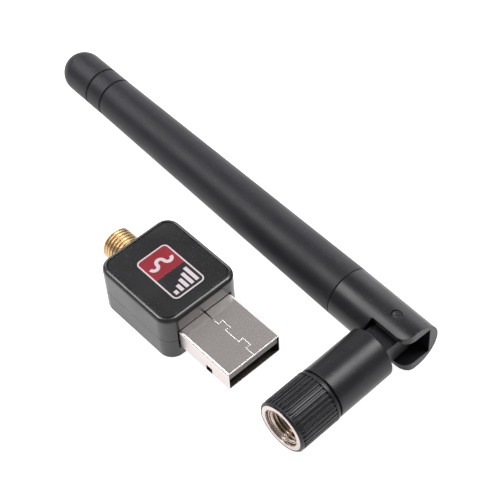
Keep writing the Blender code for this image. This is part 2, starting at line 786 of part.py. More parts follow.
def pivot_pins(whip):
    """Two short pins, so that the coaxial cable can pass between them."""
    inner = CABLE_BORE + PIVOT_PIN_FROM_CABLE
    outer = FORK_RADIUS - PIVOT_PIN_SUNK
    for name, side in (("pivot_pin_upper", 1), ("pivot_pin_lower", -1)):
        pin = tube(name, PIVOT_PIN_RADIUS, 0.0, inner, outer, BLACK_SATIN, whip, SMALL_STEPS)
        pin.rotation_euler = (0.0, side * math.radians(90), 0.0)


def whip_cover(whip):
    """The tapered rubber cover: two fine rings near the end, and a hemispherical tip."""
    start = FORK_LENGTH + SEAM_GAP
    groove = RING_GROOVE
    profile = [(0.0, DOME_CENTRE + TIP_RADIUS)]
    profile += [
        (TIP_RADIUS * math.cos(a), DOME_CENTRE + TIP_RADIUS * math.sin(a))
        for a in (math.radians(90 - 90 * i / 8) for i in range(1, 9))
    ]
    for ring in (BAND_START, TAPER_END):
        profile += [
            (TIP_RADIUS, ring + groove / 2),
            (TIP_RADIUS - groove / 2, ring),
            (TIP_RADIUS, ring - groove / 2),
        ]
    step = start + SPIGOT_LENGTH
    profile += [
        (FORK_RADIUS, start),
        (SPIGOT_RADIUS + FIT, start),
        (SPIGOT_RADIUS + FIT, step),
        (COVER_BORE, step),
        (COVER_BORE, DOME_CENTRE - COVER_END_WALL),
        (0.0, DOME_CENTRE - COVER_END_WALL),
    ]
    return turned("whip_cover", profile, BLACK_RUBBER, whip, closed=False)


def radiator(whip):
    """The sleeve dipole: cable, brass sleeve, wire above it and the two pieces that centre them."""
    sleeve_end = SLEEVE_START + SLEEVE_LENGTH
    inner = SLEEVE_RADIUS - SLEEVE_WALL
    tube(
        "whip_coax",
        COAX_RADIUS,
        0.0,
        SLOT_REACH + 4 * FIT,
        sleeve_end,
        BLACK_SATIN,
        whip,
        SMALL_STEPS,
    )
    tube(
        "radiator_sleeve",
        SLEEVE_RADIUS,
        inner,
        SLEEVE_START,
        sleeve_end,
        BRASS,
        whip,
        SMALL_STEPS,
    )
    tube(
        "sleeve_spacer",
        inner - FIT,
        COAX_RADIUS + FIT,
        SLEEVE_START + SPACER_LENGTH / 2,
        SLEEVE_START + 1.5 * SPACER_LENGTH,
        WHITE_PLASTIC,
        whip,
        SMALL_STEPS,
    )
    wire_start = sleeve_end + FIT
    wire_end = min(wire_start + WIRE_LENGTH, DOME_CENTRE - COVER_END_WALL - FIT)
    tube("radiator_wire", WIRE_RADIUS, 0.0, wire_start, wire_end, BRASS, whip, 16)
    tube(
        "tip_spacer",
        COVER_BORE - FIT,
        WIRE_RADIUS + FIT,
        wire_end - 1.5 * SPACER_LENGTH,
        wire_end - SPACER_LENGTH / 2,
        WHITE_PLASTIC,
        whip,
        SMALL_STEPS,
    )


def base_body(lying):
    """The antenna's base: a round body, its tongue round-ended about the pins, bored for the cable."""
    body = turned(
        "base_body",
        [
            (TAIL_RADIUS + FIT, BASE_END + BASE_NECK),
            (BASE_NECK_RADIUS, BASE_END + BASE_NECK),
            (BASE_NECK_RADIUS, BASE_END),
            (BASE_RADIUS, BASE_END),
            (BASE_RADIUS, SHOULDER),
            (CABLE_BORE, SHOULDER),
            (CABLE_BORE, TAIL_START),
            (TAIL_RADIUS + FIT, TAIL_START),
        ],
        BLACK_SATIN,
        lying,
    )
    half = SLOT_REACH - 2 * ELBOW_CLEARANCE
    outline = [(SHOULDER + OVERSHOOT, half), (0.0, half)]
    outline += arc((0.0, 0.0), half, 90, 270, 14)[1:]
    outline += [(SHOULDER + OVERSHOOT, -half)]
    height = 2 * (SLOT_HALF_HEIGHT - ELBOW_CLEARANCE)
    tongue = plate("tongue", outline, height, BLACK_SATIN, lying, PLAN_VIEW)
    combine(body, tongue, "UNION")
    passage = tube(
        "cable_passage",
        CABLE_BORE,
        0.0,
        -2 * SLOT_REACH,
        TAIL_START + OVERSHOOT / 2,
        STEEL,
        lying,
        SMALL_STEPS,
    )
    combine(body, passage)
    combine(body, pivot_pin_hole("tongue_pin_hole", PIVOT_PIN_RADIUS + RUNNING_CLEARANCE, lying))
    return body


NUT_START = BASE_END + BASE_NECK + NUT_GAP
INSERT_START = NUT_START + INSERT_SETBACK
INSERT_SHELF = INSERT_START + INSERT_BACK_WALL
RING_START = INSERT_SHELF + FIT
GASKET_START = RING_START + RING_THICKNESS + FIT
NUT_END = NUT_START + NUT_LENGTH
THREAD_BORE = THREAD_DIAMETER / 2 + FIT


def antenna_plug(lying):
    """The plug inside the nut: body, snap ring, gasket, insulator, socket contact and the cable."""
    shaft = TAIL_RADIUS
    groove = shaft - RING_THICKNESS
    barrel = PLUG_BARREL_RADIUS
    inner = barrel - PLUG_BARREL_WALL
    floor = GASKET_START
    turned(
        "rf_plug_body",
        [
            (inner, PLUG_BARREL_END),
            (barrel, PLUG_BARREL_END),
            (barrel, RING_START + RING_THICKNESS),
            (groove, RING_START + RING_THICKNESS),
            (groove, RING_START),
            (shaft, RING_START),
            (shaft, TAIL_START + FIT),
            (CABLE_BORE, TAIL_START + FIT),
            (CABLE_BORE, floor),
            (inner, floor),
        ],
        NICKEL,
        lying,
    )
    ring = tube(
        "retaining_ring",
        THREAD_BORE - 4 * FIT,
        groove + FIT,
        RING_START + FIT,
        RING_START + RING_THICKNESS - FIT,
        STEEL,
        lying,
        SMALL_STEPS,
    )
    gap = block(
        "ring_gap",
        (groove / 2, -RING_THICKNESS, RING_START - OVERSHOOT),
        (THREAD_BORE, RING_THICKNESS, RING_START + OVERSHOOT),
        STEEL,
        lying,
    )
    combine(ring, gap)
    tube(
        "plug_gasket",
        THREAD_BORE - 4 * FIT,
        barrel + FIT,
        GASKET_START,
        GASKET_START + GASKET_THICKNESS,
        SILICONE,
        lying,
        SMALL_STEPS,
    )
    tube(
        "rf_plug_insulator",
        inner - FIT,
        2 * PIN_RADIUS + FIT,
        floor + FIT,
        PLUG_BARREL_END - 2 * FIT,
        WHITE_PLASTIC,
        lying,
        SMALL_STEPS,
    )
    tube(
        "rf_plug_contact",
        2 * PIN_RADIUS,
        PIN_RADIUS + FIT,
        floor + FIT,
        PLUG_BARREL_END - 4 * FIT,
        GOLD,
        lying,
        SMALL_STEPS,
    )
    tube("base_coax", COAX_RADIUS, 0.0, 0.0, floor, BLACK_SATIN, lying, SMALL_STEPS)


def coupling_nut(nut):
    """The nut that spins on the plug: ribbed grip with plain rims, and its threaded insert."""
    inner = INSERT_RADIUS + FIT
    rim = NUT_RADIUS - NUT_CHAMFER
    shaft_hole = TAIL_RADIUS + RUNNING_CLEARANCE
    valley = NUT_RADIUS - RIB_DEPTH
    grip = turned(
        "coupling_nut_grip",
        [
            (inner, NUT_END),
            (rim, NUT_END),
            (NUT_RADIUS, NUT_END - NUT_CHAMFER),
            (NUT_RADIUS, NUT_END - NUT_CHAMFER - NUT_FRONT_RIM),
            (valley, NUT_END - NUT_CHAMFER - NUT_FRONT_RIM),
            (valley, NUT_START + NUT_BACK_RIM),
            (NUT_RADIUS, NUT_START + NUT_BACK_RIM),
            (NUT_RADIUS, NUT_START),
            (shaft_hole, NUT_START),
            (shaft_hole, INSERT_START - FIT),
            (inner, INSERT_START - FIT),
        ],
        BLACK_SATIN,
        nut,
    )
    outline = []
    for rib in range(RIB_COUNT):
        for share, radius in ((0.0, valley), (0.2, NUT_RADIUS), (0.6, NUT_RADIUS), (0.8, valley)):
            angle = 2 * math.pi * (rib + share) / RIB_COUNT
            reach = radius - FIT
            outline.append((reach * math.cos(angle), reach * math.sin(angle)))
    ribs_start = NUT_START + NUT_BACK_RIM / 2
    ribs_end = NUT_END - NUT_CHAMFER - NUT_FRONT_RIM - NUT_GROOVE
    ribs = plate("nut_ribs", outline, ribs_end - ribs_start, BLACK_SATIN, nut)
    ribs.location = (0.0, 0.0, (ribs_start + ribs_end) / 2)
    core = tube("rib_core", (inner + valley) / 2, 0.0, NUT_START, NUT_END, BLACK_SATIN, nut)
    combine(ribs, core)
    combine(grip, ribs, "UNION")
    turned(
        "coupling_nut_insert",
        [
            (THREAD_BORE, NUT_END - FIT),
            (INSERT_RADIUS, NUT_END - FIT),
            (INSERT_RADIUS, INSERT_START),
            (shaft_hole, INSERT_START),
            (shaft_hole, INSERT_SHELF),
            (THREAD_BORE, INSERT_SHELF),
        ],
        NICKEL,
        nut,
    )


def build():
    """The dongle first, then the antenna's three moving groups."""
    clear_scene()
    lower_shell()
    upper_shell()
    label_panel()
    usb_shell()
    usb_tongue()
    for index, x in enumerate(CONTACT_X):
        usb_contact(index + 1, x)
    circuit_board()
    board_parts()
    antenna_jack()
    lying, whip, nut = antenna_axes()
    elbow_fork(whip)
    pivot_pins(whip)
    whip_cover(whip)
    radiator(whip)
    base_body(lying)
    antenna_plug(lying)
    coupling_nut(nut)
    for obj in PARTS.objects:
        if obj.type == "MESH":
            obj.data.shade_smooth()
            obj.data.set_sharp_from_angle(angle=math.radians(35))


build()
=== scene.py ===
# %% [markdown]
# # A USB wifi adapter and its swivel antenna
#
# The real object is a thumb-sized black dongle with a steel USB plug at one end and a gold
# antenna jack at the other. Its antenna lies unscrewed beside it, bent at the elbow.
# The engineering model is loaded first and gives a fixed frame: every piece made
# here goes exactly where that model says, and rides on one of its bodies.

# %% Load the frame
import json
import math

import bmesh
import bpy
from mathutils import Matrix, Vector


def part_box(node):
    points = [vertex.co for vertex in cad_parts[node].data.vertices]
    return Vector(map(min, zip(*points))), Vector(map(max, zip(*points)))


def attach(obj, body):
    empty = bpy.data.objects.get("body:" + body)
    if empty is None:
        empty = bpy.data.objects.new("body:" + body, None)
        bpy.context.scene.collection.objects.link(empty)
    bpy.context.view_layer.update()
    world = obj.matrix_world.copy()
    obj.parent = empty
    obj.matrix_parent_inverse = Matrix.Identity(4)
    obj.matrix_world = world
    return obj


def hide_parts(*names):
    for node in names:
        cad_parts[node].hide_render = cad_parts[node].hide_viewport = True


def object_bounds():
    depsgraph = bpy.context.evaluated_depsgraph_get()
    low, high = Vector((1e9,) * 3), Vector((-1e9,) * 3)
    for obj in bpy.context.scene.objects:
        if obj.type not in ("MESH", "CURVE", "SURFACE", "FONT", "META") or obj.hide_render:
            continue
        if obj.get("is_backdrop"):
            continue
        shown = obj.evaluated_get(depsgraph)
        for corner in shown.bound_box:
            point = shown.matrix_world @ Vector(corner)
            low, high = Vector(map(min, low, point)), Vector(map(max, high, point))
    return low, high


MM = 0.001
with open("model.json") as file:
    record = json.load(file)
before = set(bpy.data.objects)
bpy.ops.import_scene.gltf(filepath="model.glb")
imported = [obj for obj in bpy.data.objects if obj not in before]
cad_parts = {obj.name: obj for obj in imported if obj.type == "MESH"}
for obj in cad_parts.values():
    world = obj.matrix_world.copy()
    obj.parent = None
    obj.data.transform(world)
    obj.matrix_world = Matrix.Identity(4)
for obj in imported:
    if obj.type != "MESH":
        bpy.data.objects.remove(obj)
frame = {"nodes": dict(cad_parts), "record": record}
CAD_BOX = [list(corner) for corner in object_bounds()]

# %% [markdown]
# The antenna doesn't lie square to the axes, so its pieces are easiest to draw upright, with
# height along the tube, and then laid down by one matrix. The joints in the record say where
# the tubes run: the elbow's pin gives one axis, and the nut's spin gives the base's own.

# %% Where the antenna's tubes lie
JOINTS = {joint["name"]: joint for joint in frame["record"]["behaviour"]["joints"]}
PIVOT = Vector(JOINTS["elbow_tilt"]["pos_m"])
PIN_AXIS = Vector(JOINTS["elbow_tilt"]["axis"]).normalized()
BASE_AXIS = Vector(JOINTS["coupling_nut_spin"]["axis"]).normalized()
BEND = math.radians(-JOINTS["elbow_tilt"]["range_deg"][0])
SIDE_AXIS = BASE_AXIS.cross(PIN_AXIS)
WHIP_AXIS = math.sin(BEND) * SIDE_AXIS - math.cos(BEND) * BASE_AXIS


def lying(along):
    """The matrix that lays an upright piece along this direction, its X on the elbow's pin."""
    turn = Matrix((PIN_AXIS, along.cross(PIN_AXIS), along)).transposed().to_4x4()
    return Matrix.Translation(PIVOT) @ turn


BASE = lying(BASE_AXIS)
WHIP = lying(WHIP_AXIS)
print(f"elbow bent {math.degrees(BEND):.2f} degrees about {tuple(round(v, 4) for v in PIVOT)}")

# %% [markdown]
# ## Effects that several finishes share
#
# Moulded plastic, rubber and plated metal all need the same few effects: a fine grain, a slow
# waviness, softened and worn edges, and a little dust. Each is a node group with named inputs,
# built once here. A material then places the group and gives it its own sizes.

# %% A group of shader nodes, and the helpers that fill it
def shader_group(name, inputs, outputs):
    """An empty group: its tree, its input node and its output node."""
    group = bpy.data.node_groups.new(name, "ShaderNodeTree")
    for label, value in inputs.items():
        socket = group.interface.new_socket(label, in_out="INPUT", socket_type="NodeSocketFloat")
        socket.default_value = value
    for label, kind in outputs.items():
        group.interface.new_socket(label, in_out="OUTPUT", socket_type=kind)
    return group, group.nodes.new("NodeGroupInput"), group.nodes.new("NodeGroupOutput")


def node(tree, kind, **values):
    """Adds a node. A value with a capital or a number in its name is an input, the rest are settings."""
    made = tree.nodes.new(kind)
    for label, value in values.items():
        key = label.replace("_", " ")
        if label[0].islower():
            setattr(made, label, value)
            continue
        socket = made.inputs[int(key[1:])] if key[0] == "I" and key[1:].isdigit() else made.inputs[key]
        if isinstance(value, bpy.types.NodeSocket):
            tree.links.new(value, socket)
        else:
            socket.default_value = value
    return made


def sums(tree, operation, first, second=0.0, third=0.0):
    """The result of a Math node on numbers or sockets."""
    return node(tree, "ShaderNodeMath", operation=operation, I0=first, I1=second, I2=third).outputs[0]


def ramp(tree, value, start, end, low=0.0, high=1.0):
    """The value, which runs from start to end, stretched to run from low to high."""
    return node(tree, "ShaderNodeMapRange", I0=value, I1=start, I2=end, I3=low, I4=high).outputs[0]


def noise(tree, size, detail):
    """Noise on Object coordinates, its patches about this size."""
    place = node(tree, "ShaderNodeTexCoord").outputs["Object"]
    scale = sums(tree, "DIVIDE", 1.0, size)
    return node(tree, "ShaderNodeTexNoise", Vector=place, Scale=scale, Detail=detail).outputs[0]


def vector(tree, **parts):
    """A vector from its X, Y and Z."""
    return node(tree, "ShaderNodeCombineXYZ", **parts).outputs[0]


print("helpers: node, sums, ramp, noise and vector")

# %% [markdown]
# Fine grain is what a spark-eroded mould leaves on plastic. Waviness is far larger and softer:
# it bends a long highlight a little, the way a thin moulded wall sinks as it cools. Both are
# noise on Object coordinates, so they stay put on the piece from every side.

# %% Grain and waviness
grain, grain_in, grain_out = shader_group(
    "moulded_grain",
    {"Grain Size": 0.15 * MM, "Wave Size": 6 * MM},
    {"Grain": "NodeSocketFloat", "Wave": "NodeSocketFloat"},
)
for label, detail in (("Grain", 2.0), ("Wave", 1.0)):
    bumps = noise(grain, grain_in.outputs[label + " Size"], detail)
    grain.links.new(bumps, grain_out.inputs[label])
print("made", grain.name)

# %% [markdown]
# No moulded or pressed edge is razor sharp. A Bevel node gives the direction that the surface
# would face if each edge were rounded, and where that differs from the true direction there is
# an edge. That difference is also the place where handling polishes a part, so the same group
# gives both the rounded direction and a mask for wear, broken up by noise.

# %% Softened and worn edges
edges, edges_in, edges_out = shader_group(
    "edge_wear",
    {"Radius": 0.15 * MM, "Patch Size": 0.8 * MM, "Wear": 0.5},
    {"Normal": "NodeSocketVector", "Wear Mask": "NodeSocketFloat"},
)
rounded = node(edges, "ShaderNodeBevel", samples=6, Radius=edges_in.outputs["Radius"]).outputs[0]
true_side = node(edges, "ShaderNodeNewGeometry").outputs["Normal"]
facing = node(
    edges, "ShaderNodeVectorMath", operation="DOT_PRODUCT", I0=rounded, I1=true_side
).outputs["Value"]
turned_away = sums(edges, "SUBTRACT", 1.0, facing)
edge_mask = ramp(edges, turned_away, 0.01, 0.18)
patches = noise(edges, edges_in.outputs["Patch Size"], 3.0)
broken = ramp(edges, patches, 0.35, 0.65, low=0.35)
worn = sums(edges, "MULTIPLY", sums(edges, "MULTIPLY", edge_mask, broken), edges_in.outputs["Wear"])
edges.links.new(rounded, edges_out.inputs["Normal"])
edges.links.new(worn, edges_out.inputs["Wear Mask"])
print("made", edges.name)

# %% [markdown]
# Dust settles only on what faces up, and in specks. The mask is a sharp threshold on noise,
# faded by how far the surface leans from level.

# %% Dust
dust, dust_in, dust_out = shader_group(
    "settled_dust", {"Speck Size": 0.12 * MM, "Amount": 0.3}, {"Dust Mask": "NodeSocketFloat"}
)
lint = ramp(dust, noise(dust, dust_in.outputs["Speck Size"], 1.0), 0.68, 0.78)
side = node(dust, "ShaderNodeNewGeometry").outputs["Normal"]
level = ramp(dust, node(dust, "ShaderNodeSeparateXYZ", Vector=side).outputs["Z"], 0.3, 0.9)
settled = sums(dust, "MULTIPLY", sums(dust, "MULTIPLY", lint, level), dust_in.outputs["Amount"])
dust.links.new(settled, dust_out.inputs["Dust Mask"])
print("made", dust.name)

# %% [markdown]
# Rolled and plated metal is never perfectly smooth: rolling leaves fine parallel lines. Noise
# stretched a hundred times along one direction gives them. The three inputs are the line
# spacing along X, Y and Z, so one group serves a plug that runs along Y and a ring that doesn't.

# %% Rolling lines
rolled, rolled_in, rolled_out = shader_group(
    "rolling_lines",
    {"Spacing X": 0.05 * MM, "Spacing Y": 8 * MM, "Spacing Z": 0.05 * MM},
    {"Lines": "NodeSocketFloat"},
)
place = node(rolled, "ShaderNodeTexCoord").outputs["Object"]
parts = node(rolled, "ShaderNodeSeparateXYZ", Vector=place).outputs
stretched = {
    letter: sums(rolled, "DIVIDE", parts[letter], rolled_in.outputs["Spacing " + letter]) for letter in "XYZ"
}
lines = node(rolled, "ShaderNodeTexNoise", Vector=vector(rolled, **stretched), Scale=1.0, Detail=3.0)
rolled.links.new(lines.outputs[0], rolled_out.inputs["Lines"])
print("made", rolled.name)

# %% [markdown]
# ## The finishes
#
# Every finish is one Principled shader. Its plain numbers sit on the shader itself, and only
# what changes over the surface comes in through the groups.

# %% Helpers that every finish uses
def new_finish(name, roughness, metallic=0.0, specular=0.5):
    """A material with its tree and its Principled shader."""
    material = bpy.data.materials.new(name)
    material.use_nodes = True
    tree = material.node_tree
    shader = tree.nodes["Principled BSDF"]
    shader.inputs["Roughness"].default_value = roughness
    shader.inputs["Metallic"].default_value = metallic
    shader.inputs["Specular IOR Level"].default_value = specular
    return material, tree, shader


def effect(tree, group, **values):
    """Places a shader group in a material with its own values."""
    placed = tree.nodes.new("ShaderNodeGroup")
    placed.node_tree = group
    for label, value in values.items():
        placed.inputs[label.replace("_", " ")].default_value = value
    return placed


def mixed(tree, share, first, second):
    """A colour between two others, as a socket."""
    blend = node(tree, "ShaderNodeMix", data_type="RGBA")
    for socket, value in ((blend.inputs[0], share), (blend.inputs[6], first), (blend.inputs[7], second)):
        if isinstance(value, bpy.types.NodeSocket):
            tree.links.new(value, socket)
        elif isinstance(value, tuple):
            socket.default_value = (*value, 1.0)
        else:
            socket.default_value = value
    return blend.outputs[2]


def spread(tree, value, low, high):
    """Noise hardly leaves the middle of its range, so this stretches it to run from low to high."""
    return ramp(tree, value, 0.3, 0.7, low, high)


def bumped(tree, shader, height, over):
    """Feeds the shader's Normal with a bump of this height, in metres, over the rounded edges."""
    bump = node(tree, "ShaderNodeBump", Strength=1.0, Distance=1.0, Height=height, Normal=over)
    tree.links.new(bump.outputs[0], shader.inputs["Normal"])


print("a finish is made by new_finish, then effect, mixed, spread and bumped")

# %% [markdown]
# Black plastic is never one black. Handling polishes the raised edges, so they are smoother
# and a shade lighter; grain breaks up the highlight; dust sits on top. Gloss, satin and
# rubber differ only in how rough they are and how coarse the grain is, so one recipe makes
# them all.

# %% Moulded plastic and rubber
DUST_COLOUR = (0.32, 0.31, 0.3)
DUST_ROUGHNESS = 0.3
EDGE_POLISH = 0.12


def shaded(colour, gain, lift):
    """A lighter shade of a colour."""
    return tuple(min(1.0, gain * part + lift) for part in colour)


def moulded(
    name, colour, roughness, grain_size=0.1, grain_depth=0.003, wave=0.0, edge=0.12, specks=0.25,
    worn_edge=0.5, specular=0.5,
):
    """Plastic, rubber or ink. The sizes of grain, wave and edge are in millimetres."""
    material, tree, shader = new_finish(name, roughness, specular=specular)
    skin = effect(tree, grain, Grain_Size=grain_size * MM, Wave_Size=7 * MM)
    rim = effect(tree, edges, Radius=edge * MM, Patch_Size=0.9 * MM, Wear=worn_edge)
    lint_on = effect(tree, dust, Speck_Size=0.16 * MM, Amount=specks)
    waves, worn_parts, dusty = skin.outputs["Wave"], rim.outputs["Wear Mask"], lint_on.outputs["Dust Mask"]
    body = mixed(tree, spread(tree, waves, 0.0, 0.35), colour, shaded(colour, 1.5, 0.002))
    body = mixed(tree, worn_parts, body, shaded(colour, 2.0, 0.012))
    body = mixed(tree, dusty, body, DUST_COLOUR)
    tree.links.new(body, shader.inputs["Base Color"])
    rough = spread(tree, waves, roughness - 0.04, roughness + 0.05)
    rough = sums(tree, "SUBTRACT", rough, sums(tree, "MULTIPLY", worn_parts, EDGE_POLISH))
    rough = sums(tree, "ADD", rough, sums(tree, "MULTIPLY", dusty, DUST_ROUGHNESS))
    tree.links.new(rough, shader.inputs["Roughness"])
    height = sums(tree, "MULTIPLY", skin.outputs["Grain"], grain_depth * MM)
    height = sums(tree, "ADD", height, sums(tree, "MULTIPLY", waves, wave * MM))
    bumped(tree, shader, height, rim.outputs["Normal"])
    return material


GLOSS_PLASTIC = moulded("gloss_plastic", (0.007, 0.0067, 0.0067), 0.28, 0.12, 0.0012, wave=0.02)
SATIN_PLASTIC = moulded("satin_plastic", (0.005, 0.005, 0.0068), 0.34, 0.11, wave=0.03, specular=0.3)
RUBBER = moulded("rubber_cover", (0.008, 0.008, 0.0112), 0.46, 0.13, 0.005, wave=0.08, specular=0.22)
LABEL = moulded("label_film", (0.005, 0.005, 0.0058), 0.27, 0.16, edge=0.06, worn_edge=0.4)
TONGUE = moulded("grey_plastic", (0.09, 0.078, 0.075), 0.45, edge=0.1)
CABLE_JACKET = moulded("cable_jacket", (0.02, 0.02, 0.02), 0.5)
INSULATOR = moulded("white_insulator", (0.78, 0.76, 0.7), 0.42, specks=0.1)
SILICONE = moulded("red_silicone", (0.45, 0.06, 0.04), 0.55)
CHIP_EPOXY = moulded("chip_epoxy", (0.02, 0.02, 0.02), 0.55, 0.08, 0.006)
CERAMIC = moulded("fired_ceramic", (0.36, 0.24, 0.15), 0.5, 0.08, 0.005)
print("plastics:", GLOSS_PLASTIC.name, SATIN_PLASTIC.name, RUBBER.name, LABEL.name)

# %% [markdown]
# Printing ink lies on the label as a thin satin film. It is a plastic too, with a coarser and
# flatter grain, and hardly any wear.

# %% Printed inks
def printed(name, colour, roughness, **changes):
    """An ink: a moulded finish with its own grain and a very small edge."""
    return moulded(name, colour, roughness, 0.2, 0.002, edge=0.03, **changes)


RED_INK = printed("red_ink", (0.17, 0.0075, 0.015), 0.3, specks=0.1, worn_edge=0.1)
WHITE_INK = printed("white_ink", (0.39, 0.34, 0.355), 0.38, specks=0.0, worn_edge=0.0)
DARK_INK = printed("dark_ink", (0.006, 0.006, 0.008), 0.3, worn_edge=0.1)
print("inks:", RED_INK.name, WHITE_INK.name, DARK_INK.name)

# %% [markdown]
# Plated metal takes its look from what it mirrors. Its roughness is what separates a satin
# nickel plug from bright gold, and the rolling lines run through both. In grooves and at
# edges the plating is a little darker and warmer, where it has thinned.

# %% Plated metal
ACROSS = (0.06, 0.3, 0.3)


def plated(
    name, colour, roughness, spacing=(0.05, 6.0, 0.05), lines_depth=0.0006, worn=(0.35, 0.28, 0.22),
    wear=0.3, edge=0.06, bore=None, streaks=1.0,
):
    """Plated metal, its sizes in millimetres. The bore's colour is painted shade, laid where a thread is cut.
    """
    material, tree, shader = new_finish(name, roughness, metallic=1.0)
    across = {f"Spacing_{letter}": size * MM for letter, size in zip("XYZ", spacing)}
    marks = effect(tree, rolled, **across).outputs["Lines"]
    skin = effect(tree, grain, Grain_Size=0.08 * MM, Wave_Size=3 * MM)
    rim = effect(tree, edges, Radius=edge * MM, Patch_Size=0.5 * MM, Wear=wear)
    dull = tuple(0.82 * part for part in colour)
    body = mixed(tree, spread(tree, skin.outputs["Wave"], 0.0, 0.6 * streaks), colour, dull)
    body = mixed(tree, spread(tree, marks, 0.0, 0.3 * streaks), body, dull)
    body = mixed(tree, rim.outputs["Wear Mask"], body, worn)
    # Painted shade: where the thread mask is set, the colour turns to the darker bore colour, standing for
    # the shade in a bore.
    if bore:
        cut = node(tree, "ShaderNodeAttribute", attribute_name="thread").outputs["Fac"]
        body = mixed(tree, cut, body, bore)
    tree.links.new(body, shader.inputs["Base Color"])
    rough = spread(tree, marks, roughness - 0.05 * streaks, roughness + 0.07 * streaks)
    patchy = spread(tree, skin.outputs["Wave"], -0.03 * streaks, 0.04 * streaks)
    tree.links.new(sums(tree, "ADD", rough, patchy), shader.inputs["Roughness"])
    height = sums(tree, "MULTIPLY", marks, lines_depth * MM)
    height = sums(tree, "ADD", height, sums(tree, "MULTIPLY", skin.outputs["Grain"], 0.0006 * MM))
    bumped(tree, shader, height, rim.outputs["Normal"])
    return material


STEEL = plated(
    "plated_steel", (0.6, 0.55, 0.535), 0.24, lines_depth=0.00012, worn=(0.7, 0.67, 0.65), wear=0.4,
    edge=0.08, streaks=0.2,
)
# Painted shade: a dark steel for the faces deep inside the plug, standing for the shade there.
STEEL_IN_PAINTED_SHADE = plated("dull_steel_inside", (0.07, 0.062, 0.055), 0.45, wear=0.0)
GOLD = plated("gold_plate", (0.7, 0.49, 0.26), 0.35, (0.3, 0.06, 0.3), worn=(0.5, 0.26, 0.08), wear=0.4)
NICKEL = plated("nickel_plate", (0.84, 0.74, 0.69), 0.22, ACROSS, worn=(0.45, 0.3, 0.2))
# Its bore colour is painted shade inside the nut's thread.
NICKEL_WITH_PAINTED_BORE_SHADE = plated("threaded_nickel", (0.6, 0.52, 0.485), 0.26, ACROSS, bore=(0.36, 0.285, 0.225))
BRASS = plated("brass_sleeve", (0.75, 0.53, 0.22), 0.3)
print("metals:", STEEL.name, GOLD.name, NICKEL.name, BRASS.name)

# %% [markdown]
# The circuit board is hidden in the housing, yet it is what the object is for. Green solder
# mask shows the copper under it as slightly lighter tracks, which a stepped Voronoi pattern
# draws without any picture.

# %% Board laminate
TRACK_CELL = 1.6 * MM
SOLDER_MASK, MASK_ON_COPPER = (0.01, 0.11, 0.045), (0.03, 0.2, 0.08)
BOARD, tree, shader = new_finish("board_laminate", 0.35)
place = node(tree, "ShaderNodeTexCoord").outputs["Object"]
cells = node(
    tree, "ShaderNodeTexVoronoi", distance="CHEBYCHEV", feature="F1", Vector=place, Scale=1 / TRACK_CELL
)
track = ramp(tree, cells.outputs["Distance"], 0.42, 0.44)
tree.links.new(mixed(tree, track, SOLDER_MASK, MASK_ON_COPPER), shader.inputs["Base Color"])
skin = effect(tree, grain, Grain_Size=0.1 * MM, Wave_Size=2 * MM)
tree.links.new(spread(tree, skin.outputs["Wave"], 0.28, 0.42), shader.inputs["Roughness"])
board_edges = effect(tree, edges, Radius=0.05 * MM, Wear=0.2)
bumped(tree, shader, sums(tree, "MULTIPLY", track, 0.02 * MM), board_edges.outputs["Normal"])
print("made", BOARD.name)

# %% [markdown]
# ## Making and fitting pieces
#
# Most of this object is turned or drawn in section, and each corner of a section has a small
# radius. The helper below rounds the corners of a drawn section, so a piece is written as the
# few sizes a maker would put on its drawing.

# %% Rounding a drawn section
def eased(points, closed=True, steps=4):
    """Replaces each corner by an arc. A point is (x, y) or (x, y, radius)."""
    flat = [Vector(p[:2]) for p in points]
    result = []
    for i, point in enumerate(points):
        radius = point[2] if len(point) > 2 else 0.0
        if not radius or (not closed and i in (0, len(points) - 1)):
            result.append(tuple(flat[i]))
            continue
        corner, before, after = flat[i], flat[i - 1], flat[(i + 1) % len(flat)]
        u, v = (before - corner).normalized(), (after - corner).normalized()
        half = u.angle(v) / 2
        shorter = min((before - corner).length, (after - corner).length)
        reach = min(radius / math.tan(half), 0.49 * shorter)
        radius = reach * math.tan(half)
        centre = corner + (u + v).normalized() * radius / math.sin(half)
        start, end = corner + u * reach - centre, corner + v * reach - centre
        turn = math.atan2(start.x * end.y - start.y * end.x, start.dot(end))
        for step in range(steps + 1):
            swing = Matrix.Rotation(turn * step / steps, 2)
            result.append(tuple(centre + swing @ start))
    return result


def drawn_mm(points):
    """A section written in millimetres, each corner with its own rounding."""
    return eased([tuple(value * MM for value in point) for point in points])


def circle_arc(centre, radius, start, end, steps):
    """Points of an arc between two angles in degrees."""
    angles = [math.radians(start + (end - start) * i / steps) for i in range(steps + 1)]
    return [(centre[0] + radius * math.cos(a), centre[1] + radius * math.sin(a)) for a in angles]


print("a square with a rounded corner:", len(eased([(0, 0), (1, 0), (1, 1, 0.2), (0, 1)])), "points")

# %% [markdown]
# A turned piece is rings of points joined by quads, and a moulded box is rounded rectangles
# joined the same way. Both are one idea, a loft through rings, so one helper builds both.
# Building the quads directly keeps the faces regular, which matters for smooth highlights.

# %% Lofting through rings
def loft(name, rings, place=None, looped=False):
    """Joins rings of points into a closed piece. A ring of one point closes it in a tip."""
    shape = bmesh.new()
    made = [[shape.verts.new(p) for p in ring] for ring in rings]
    pairs = list(zip(made, made[1:] + made[:1])) if looped else list(zip(made, made[1:]))
    for low, high in pairs:
        for i in range(max(len(low), len(high))):
            near = [ring[i % len(ring)] for ring in (low, high)]
            far = [ring[(i + 1) % len(ring)] for ring in (low, high)]
            shape.faces.new(list(dict.fromkeys([near[0], *far, near[1]])))
    if not looped:
        for ring in (made[0], made[-1]):
            if len(ring) > 2:
                shape.faces.new(ring)
    return settled_mesh(name, shape, place)


